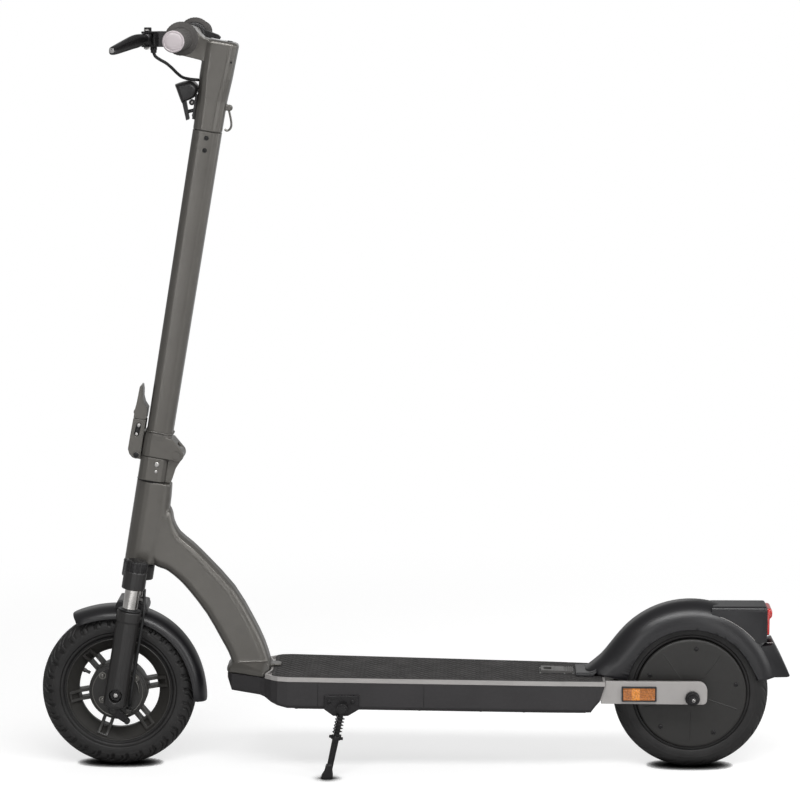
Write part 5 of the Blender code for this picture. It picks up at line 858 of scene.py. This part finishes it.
# The tail lamp's box, the flap, the lens, and thin silver lines along the seams of the box and the flap as painted
# highlights
for name, section, sides, node, angle in (
        ("tail_box", tail_box, rounded_sides(0.0312, 0.006), "tail_lamp_housing", 50),
        ("tail_flap", tail_flap, rounded_sides(0.03, 0.0016, 4), "plate_holder", 42)):
    Build().across(sides, section).finish(name, GUARD, "frame", [node], angle=angle)
outline = mm("576.3 223.5, 579.1 223.6, 579.9 225, 580.1 230, 580.2 248, 580.9 250.8, 582.9 252.8, 584.1 255, "
             "584.3 260, 583.8 264, 582.1 266.5, 579.3 267.4, 576.3 267.5")
outline = resampled(curve_through(outline, 5), 60)
middle = np.array([0.5763, 0.2455])
lens = Build().across(rounded_sides(0.027, 0.004, 6),
                      lambda y, by: middle + (outline - middle) * (1 - by / 0.01, 1 - by / 0.03))
lens.finish("tail_lens", RED, "frame", ["tail_lamp_lens"], angle=35)
# Thin silver tubes on the box's and the flap's seams: painted highlights on their edges
lines = Build()
for side in (-1, 1):
    points = [on_guard(0.0313, degrees, 0.0004) for degrees in np.linspace(41.0, 70.0, 30)]
    lines.sweep([(x, side * 0.0313, z) for x, z in points], 0.00042, 8)
    lines.sweep(mm(f"575.5 {side * 30} 211.9, 578.5 {side * 30.2} 211.9, 585.8 {side * 30.2} 211.9"), 0.00045, 8)
lines.finish("tail_painted_highlights", SILVER, "frame")


# Deck


def deck_half_at(x):
    """Half the deck's width at places along it."""
    places, halves = zip(*mm("-243 68, -232 79, -221 87, -205 90, 221 77, 289 72.5, 296.5 72, 310 71.5"))
    return np.interp(x, places, halves)


# The rubber mat: a raised field of long diamonds inside a plain border
front, rear, rows, columns, end_radius = -0.2312, 0.3068, 620, 181, 0.004
x = np.linspace(front, rear, rows)[:, None]
ends = np.minimum(x - front, rear - x)
half = deck_half_at(x) - 0.0039 - end_radius * rounded_end(ends / end_radius)
y = half * np.linspace(-1, 1, columns)
inside = np.minimum(half - np.abs(y), ends)
bent = y + 0.0016 * np.sin(2 * np.pi * x / 0.026)
lines = [np.abs(np.sin(np.pi * (x / 0.013 + way * bent / 0.015))) for way in (1, -1)]
groove = smoothed(np.clip(1 - np.minimum(*lines) / 0.42, 0, 1))
raised = ramp(x, -0.205, 0.001) * ramp(-x, -0.198, 0.001) * ramp(half - np.abs(y), 0.0085, 0.001)
edge = np.clip(1 - inside / 0.0012, 0, 1)
z = 0.0013 + 0.0005 * raised - 0.0015 * groove * ramp(inside, 0.0042, 0.0012) - 0.0008 * edge ** 2
foot = np.full((rows, 2), -0.003)
sections = stacked(x, np.hstack([y, y[:, -1:], y[:, :1]]), np.hstack([z, foot]))
Build().skin(sections).finish("deck_mat_skin", MAT, "frame", ["deck_mat"], DECK, 50)

# Seams and screws on the side shell, a dark slab under the catch as its painted shadow, the catch's rivets, and the
# tongue's slots drawn as dark slabs for the painted shade in them
seams = Build()
for side in (-1, 1):
    for x in (-0.1552, 0.0171):
        half = deck_half_at(x)
        seams.sweep([(x, side * (half - by), z) for by, z in mm("0 -7.8, 0.4 -25, 0.8 -46")], 0.00045, 8)
# A dark slab under the catch plate: painted shadow round its edge
seams.slab(rounded_rect(0.0293, 0.0196, 0.003, centre=(0.2343, 0)), 0.0009, 0.0016, 0.0002)
# The tongue's two slots, drawn as dark slabs: painted shade for their insides
for x, z, lean in ((0.2815, 0.0064, -0.12), (0.292, 0.0096, -0.55)):
    seams.slab(rounded_rect(0.0042, 0.0022, 0.0021), -0.0006, 0.0006, 0.0002, place=placed(x, 0.0195, z, lean))
seams.finish("deck_seams_and_painted_shade", CABLE, "frame", matrix=DECK)
rivets = Build()
for x in (0.2065, 0.2462, 0.26):
    for side in (-1, 1):
        rivets.screw((x, side * 0.0184, 0.0015), (0, 0, 1), 0.0013, 0.0009, "cross")
rivets.finish("catch_rivets", STEEL, "frame", matrix=DECK)
bolts = Build()
for x in (-0.1375, -0.0989):
    bolts.lathe(mm("2 -91.7, 5.2 -91.7, 5 -92.6, 2 -92.7"), 32, centre=(x, 0.1248))
    bolts.screw((x, -0.0925, 0.1248), (0, -1, 0), 0.0036, 0.0022)
bolts.finish("stand_bolts", DARK, "frame")
screws = Build()
for x in (-0.19, -0.09, 0.01, 0.11, 0.18):
    for side in (-1, 1):
        screws.screw((x, side * (deck_half_at(x) - 0.0105), -0.0521), (0, 0, -1), 0.003, 0.0016, "cross")
screws.finish("cover_screws", DARK, "frame", matrix=DECK)

# A black frame round a lens of small pyramids in three parts, with a zigzag border. The parts are one amber, painted
# brighter in the middle part and darker in the front and rear ones for how their facets catch the light; the rear part
# has low pyramids.
for side, tag in SIDES:
    middle = placed(0.36625, side * 0.0653, 0.13375)
    shape = rounded_rect(0.02825, 0.01225, 0.0016, 5)
    hole = rounded_rect(0.0262, 0.0102, 0.0008, 5)
    levels = ((0.0, shape), (0.0042, shape), (0.005, [(x * 0.988, z * 0.97) for x, z in shape]), (0.005, hole),
              (0.0036, hole))
    Build().skin([[(x, side * y, z) for x, z in outline] for y, outline in levels]).finish(
        "reflector_frame_" + tag, BLACK, "frame", ["reflector_" + tag], middle)
    tall, step, border = 0.01, 0.0004, 0.0078
    for part, low, high, material, pitch, height in (("front", -0.026, -0.0118, AMBER_PAINTED_DARK, 0.0024, 1.0),
                                                     ("middle", -0.0118, 0.0012, AMBER, 0.0018, 1.0),
                                                     ("rear", 0.0012, 0.026, AMBER_PAINTED_DARK, 0.005, 0.35)):
        x = np.linspace(low, high, int((high - low) / step))[:, None]
        z = np.linspace(-tall, tall, 50)
        peaks = height * zigzag(x / pitch) * zigzag(z / pitch)
        edge = ramp(np.abs(z), border, step)
        y = 0.004 + 0.0006 * (peaks * (1 - edge) + zigzag(x / 0.0022) * edge)
        y = np.hstack([y, np.full((len(y), 2), 0.0037)])
        Build().skin(stacked(x, side * y, np.append(z, (tall, -tall)))).finish(
            "reflector_" + part + "_" + tag, material, "frame", matrix=middle, angle=12)

# Hexagon nuts and bright stud ends on the rear axle's caps, and bright ends on the front axle
nuts, front, rear = Build(), Build(), Build()
for side in (-1, 1):
    normal = (0, side, 0)
    nuts.nut((0, side * 0.0742, 0), normal, 0.0078, 0.0048, 0.5)
    nuts.lathe(sided(mm("8.6 74, 9.6 74.1, 9.4 74.9, 8.6 75"), side), closed=True)
    front.screw((0, side * 0.064, 0), normal, 0.0042, 0.0022)
    rear.screw((0.0012, side * 0.0796, -0.001), normal, 0.003, 0.0016)
nuts.finish("rear_axle_nuts", DARK, "frame", matrix=REAR_HUB)
front.finish("front_axle_ends", STEEL, "fork_slider", matrix=FRONT_HUB)
rear.finish("rear_axle_ends", STEEL, "frame", matrix=REAR_HUB)


# Stem

# The stem's tube: a rounded box that widens a little towards its top, with a weld bead round its foot
rings = []
for h in np.linspace(0.426, 0.9297, 20):
    share = (h - 0.433) / 0.497
    rings.append([(a, y, h) for a, y in rounded_rect(0.021 + 0.002 * share, 0.025, 0.014, 14)])
Build().skin(rings).finish("stem_tube_skin", GREY, "stem", ["stem_tube"], STEER, 50)
t = turns(8)
rings = []
for i, (a, y) in enumerate(resampled(rounded_rect(0.0214, 0.0254, 0.014, 14) + [(0.0214, 0.0114)], 240)[:-1]):
    radius = 0.0013 + 0.0005 * abs(math.sin(i * 0.55)) + 0.0002 * math.sin(i * 0.23)
    rings.append(stacked(a * (1 + radius / 0.022 * np.cos(t)), y * (1 + radius / 0.025 * np.cos(t)),
                         0.4336 + radius * np.sin(t) + 0.0003 * math.sin(i * 0.31)))
Build().skin(rings, closed=True).finish("stem_weld", GREY, "stem", matrix=STEER, angle=80)

# Bolts and screws on both sides of the stem, the latch and the hinge, and a dark block in the latch's slot as painted
# shade
stem, pivot, latch, hinge = Build(), Build(), Build(), Build()
for side in (-1, 1):
    normal = (0, side, 0)
    for a, h in ((0.0015, 0.9195), (0.002, 0.8996)):
        stem.socket_bolt((a, side * 0.0249, h), side, 0.0038)
    stem.socket_bolt((0.0222, side * 0.0252, 1.0455), side, 0.0018, 0.001)
    pivot.socket_bolt((-0.0315, side * 0.0183, 0.3907), side, 0.0043, 0.0012)
    for a, h, radius in ((-0.035, 0.4393, 0.0033), (-0.0365, 0.4243, 0.0029)):
        latch.screw((a, side * 0.0146, h), normal, radius, 0.0018, place=STEER)
    hinge.screw((-0.4195, side * 0.0244, 0.5024), normal, 0.0042, 0.0018)
    hinge.screw((-0.4211, side * 0.0244, 0.4909), normal, 0.0028, 0.0014)
stem.finish("stem_bolts", CABLE, "stem")
pivot.finish("latch_pivot_bolts", CABLE, "steering")
latch.finish("latch_bolts", STEEL, "latch")
# A dark block between the latch's cheeks: painted shade inside its slot
latch_slot_shade_outline = mm("-39 420.5, -34 420.5, -32 430, -30.8 442.5, -38.5 442.5, -39.5 430")
Build().across(both_ways([(0.0126, 0)]), lambda y, _: latch_slot_shade_outline).finish("latch_slot_painted_shade", CABLE, "latch", matrix=STEER)
hinge.finish("hinge_screws", STEEL, "steering")


# Cables and lever

# Both visible runs of the brake cable, the lower one with its two clips
radius, steps, count = 0.0025, 10, 20
path = [(-0.408965, -0.106, 1.174)] + mm("-406.8 -104 1167.8, -400 -97 1162, -391.8 -85 1156.2, -384.2 -68 1148, "
                                          "-377.5 -49 1138.8, -370.5 -31 1131.5, -360.5 -17 1128, -346.6 -10 1126.2")
Build().sweep(curve_through(path, steps), radius, count).finish(
    "cable_upper_skin", CABLE, "stem", ["brake_cable_upper"])
path = mm("17.5 -33.5 175.8, 19 -40 166, 22.2 -50 152, 23.6 -54 138, 23.6 -54 100, 23.6 -54 60, 23.6 -54 10, "
          "23.6 -48 -8, 23.6 -40.5 -18, 23.6 -40 -23.7")
lower = Build().sweep(curve_through(path, steps), radius, count)
for h in (52, 98):
    clip = mm(f"2.6 {h}, 3.3 {h + 0.4}, 3.3 {h + 4.4}, 2.6 {h + 4.8}")
    lower.lathe(clip, 32, "Z", (0.0236, -0.054), True)
lower.finish("cable_lower_skin", CABLE, "fork_slider", ["brake_cable_lower"], STEER)

# The brake lever's blade: deep and thick by its pivot, thinner outwards, with a small cap on its end
path = curve_through(mm("0 -1 0 5 7, -2 -4 0 6 8, -6 -12 0 6 8.3, -9 -18 -1 6 9.8, -13.5 -28 -2.2 6 10.6, "
                        "-19.5 -40 -4 6 10.4, -30.5 -66 -9 5.6 9, -39.2 -90 -13 5.3 7.5, -43.2 -100 -14.5 5 6.4, "
                        "-44.6 -103.5 -14.9 4 5, -45.1 -104.7 -15 2 2.6"), 6)
t = turns(32)
c, s = (np.sign(wave) * np.abs(wave) ** 0.75 for wave in (np.cos(t), np.sin(t)))
rings = []
for i, (x, y, z, wide, tall) in enumerate(path):
    before, after = path[max(i - 1, 0)], path[min(i + 1, len(path) - 1)]
    across = Vector((after[1] - before[1], before[0] - after[0])).normalized()
    rings.append(stacked(x + across.x * wide * c, y + across.y * wide * c, z + tall * s))
eye = mm("3 -8.4, 7.6 -8.4, 8.1 -7.8, 8.1 7.8, 7.6 8.4, 3 8.4")
Build().skin(rings).lathe(eye, 48, "Z").finish("lever_blade", DARK, "brake_lever", ["brake_lever"], LEVER, 50)
cap = mm("1 -0.6, 4.2 -0.4, 4 0.5, 2.8 0.9, 0.8 1")
place = facing((-0.044, -0.1043, -0.0142), (-0.25, -1, 0.15))
Build().lathe(cap, 32, "Z", place=place).finish("lever_cap", INSET, "brake_lever", matrix=LEVER, angle=40)

# The plate from the deck to the rear axle, with rounded ends and a drop-out slot under the axle
for side, tag in SIDES:
    end, slot = np.linspace(0, math.pi / 2, 14), np.linspace(0, math.pi, 14)
    outline = [(0.3119, 0.154)] + [(0.463 + 0.014 * math.sin(q), 0.1385 + 0.0155 * math.cos(q)) for q in end]
    outline += mm("477 126, 476.4 121, 474.8 118, 471.8 116.3, 469 116, 459.1 116")
    outline += [(0.453 + 0.0061 * math.cos(q), 0.127 + 0.0061 * math.sin(q)) for q in slot]
    outline += mm("446.9 116, 304.5 117, 305.2 121.7, 282.2 121.7, 282.2 144.3, 310.6 144.3")
    levels = [(side * y, 0) for y in (0.0571, 0.065)]
    plate = Build().across(levels, lambda y, _: outline).finish(
        "swingarm_skin_" + tag, SILVER, "frame", ["swingarm_" + tag], angle=40)
    bevelled(plate, 0.0009, 3, 40)

# A domed button with a shallow dish in its top
profile = mm("1 1075.7, 4 1075.7, 4.3 1076, 4.3 1077.7, 4 1078.3, 3.4 1078.4, 2.6 1078.1, 0.8 1077.9")
Build().lathe(profile, 48, "Z", (0.0135, 0.0)).finish(
    "power_button_cap", BLACK, "power_button", ["power_button"], STEER, 40)


# Floor, lights and camera


CAMERA = (0.1094, -5.4467, 1.3665, math.radians(1.399), math.radians(7.943), math.radians(-0.066), 3377.8)
PHOTO_WIDTH = 800
FLOOR_SIZE = 14.0
FLOOR_GLOW = 0.62
FLOOR_SHADE = 0.5
# Reach and power of the ambient occlusion that paints a contact shadow on the floor
PAINTED_SHADOW_REACH = 0.02
PAINTED_SHADOW_POWER = 5.5
FLOOR_NEAR = 0.95
FLOOR_FAR = 2.0
WORLD_LEVEL = 0.33
MIRRORED_FLOOR = 0.45


def make_stage():
    """A pale floor that turns into plain white away from the scooter and keeps its cast shadow near it. Near the
    scooter, ambient occlusion also darkens its glow and its colour: a painted contact shadow.
    """
    mesh = bpy.data.meshes.new("floor")
    corners = [(x * FLOOR_SIZE, y * FLOOR_SIZE, 0) for x, y in ((-1, -1), (1, -1), (1, 1), (-1, 1))]
    mesh.from_pydata(corners, [], [(0, 1, 2, 3)])
    floor = put("floor", mesh)
    floor.location.z = -0.0004
    s = Shader("floor_white", (0.8, 0.8, 0.8), 0.9, specular=0.0)
    rays = s.node("ShaderNodeLightPath")
    reach = s.node("ShaderNodeVectorMath", {0: s.where}, operation="LENGTH").outputs["Value"]
    far = s.spread(reach, FLOOR_NEAR, FLOOR_FAR, interpolation_type="SMOOTHSTEP")
    # Ambient occlusion, raised to a power, darkens the floor's glow and colour where the scooter touches or nears it: a
    # painted contact shadow
    open_sky = s.node("ShaderNodeAmbientOcclusion", {"Distance": PAINTED_SHADOW_REACH}, samples=6).outputs["AO"]
    clear = s.math("POWER", open_sky, PAINTED_SHADOW_POWER)
    painted_shadow_albedo = s.math("MULTIPLY", clear, s.math("SUBTRACT", 1.0, far))
    near = s.math("MULTIPLY", FLOOR_GLOW, clear)
    glow = s.math("ADD", near, s.math("MULTIPLY", far, s.math("SUBTRACT", 1.0, near)))
    mirrored = s.math("MULTIPLY", s.math("MULTIPLY", rays.outputs["Is Glossy Ray"], far), MIRRORED_FLOOR)
    s.look({"Base Color": s.mix(painted_shadow_albedo, (0.0, 0.0, 0.0), (FLOOR_SHADE,) * 3), "Emission Color": (1, 1, 1),
            "Emission Strength": s.math("MAXIMUM", s.math("MULTIPLY", s.seen(rays), glow), mirrored)})
    mesh.materials.append(s.mat)


def make_world():
    """A white world to the camera's rays, and a dimmer one to the light."""
    world = bpy.data.worlds.new("studio")
    bpy.context.scene.world = world
    world.use_nodes = True
    nodes = Nodes(world.node_tree)
    level = nodes.spread(nodes.seen(nodes.node("ShaderNodeLightPath")), 0.0, 1.0, WORLD_LEVEL)
    nodes.feed(world.node_tree.nodes["Background"], {"Color": (1, 1, 1), "Strength": level})


def area_lamp(name, place, aim_height, size, power):
    """A white lamp that aims at a height over the scooter's middle."""
    data = bpy.data.lights.new(name, "AREA")
    data.shape = "RECTANGLE"
    data.size, data.size_y = size
    data.energy = power
    lamp = put(name, data)
    lamp.location = place
    aim = Vector((0, 0, aim_height)) - Vector(place)
    lamp.rotation_euler = aim.to_track_quat("-Z", "Y").to_euler()


def make_camera():
    data = bpy.data.cameras.new("camera")
    camera = put("camera", data)
    x, y, z, yaw, pitch, roll, focal = CAMERA
    camera.location = (x, y, z)
    turn = Matrix.Rotation(yaw, 4, "Z") @ Matrix.Rotation(math.pi / 2 - pitch, 4, "X") @ Matrix.Rotation(roll, 4, "Z")
    camera.rotation_euler = turn.to_euler()
    data.sensor_width = 36.0
    data.lens = focal / PHOTO_WIDTH * data.sensor_width
    data.clip_end = 60.0
    bpy.context.scene.camera = camera


make_stage()
make_world()
area_lamp("top_lamp", (0.3, -2.2, 2.7), 0.4, (3.2, 0.8), 74)
area_lamp("front_lamp", (-1.1, -3.6, 1.05), 0.6, (0.8, 1.9), 12)
area_lamp("right_lamp", (1.3, -3.6, 1.05), 0.6, (0.6, 1.9), 10.5)
area_lamp("rear_lamp", (2.8, -1.6, 1.5), 0.6, (1.0, 2.4), 26)
area_lamp("rim_lamp", (3.1, 0.7, 1.2), 0.6, (1.8, 2.2), 29)
area_lamp("back_lamp", (-0.6, 3.0, 1.8), 0.4, (2.6, 1.6), 8)
area_lamp("floor_lamp", (0.0, -1.3, 0.03), 0.25, (2.4, 0.3), 2.2)
make_camera()
bpy.context.scene.view_settings.view_transform = "Standard"
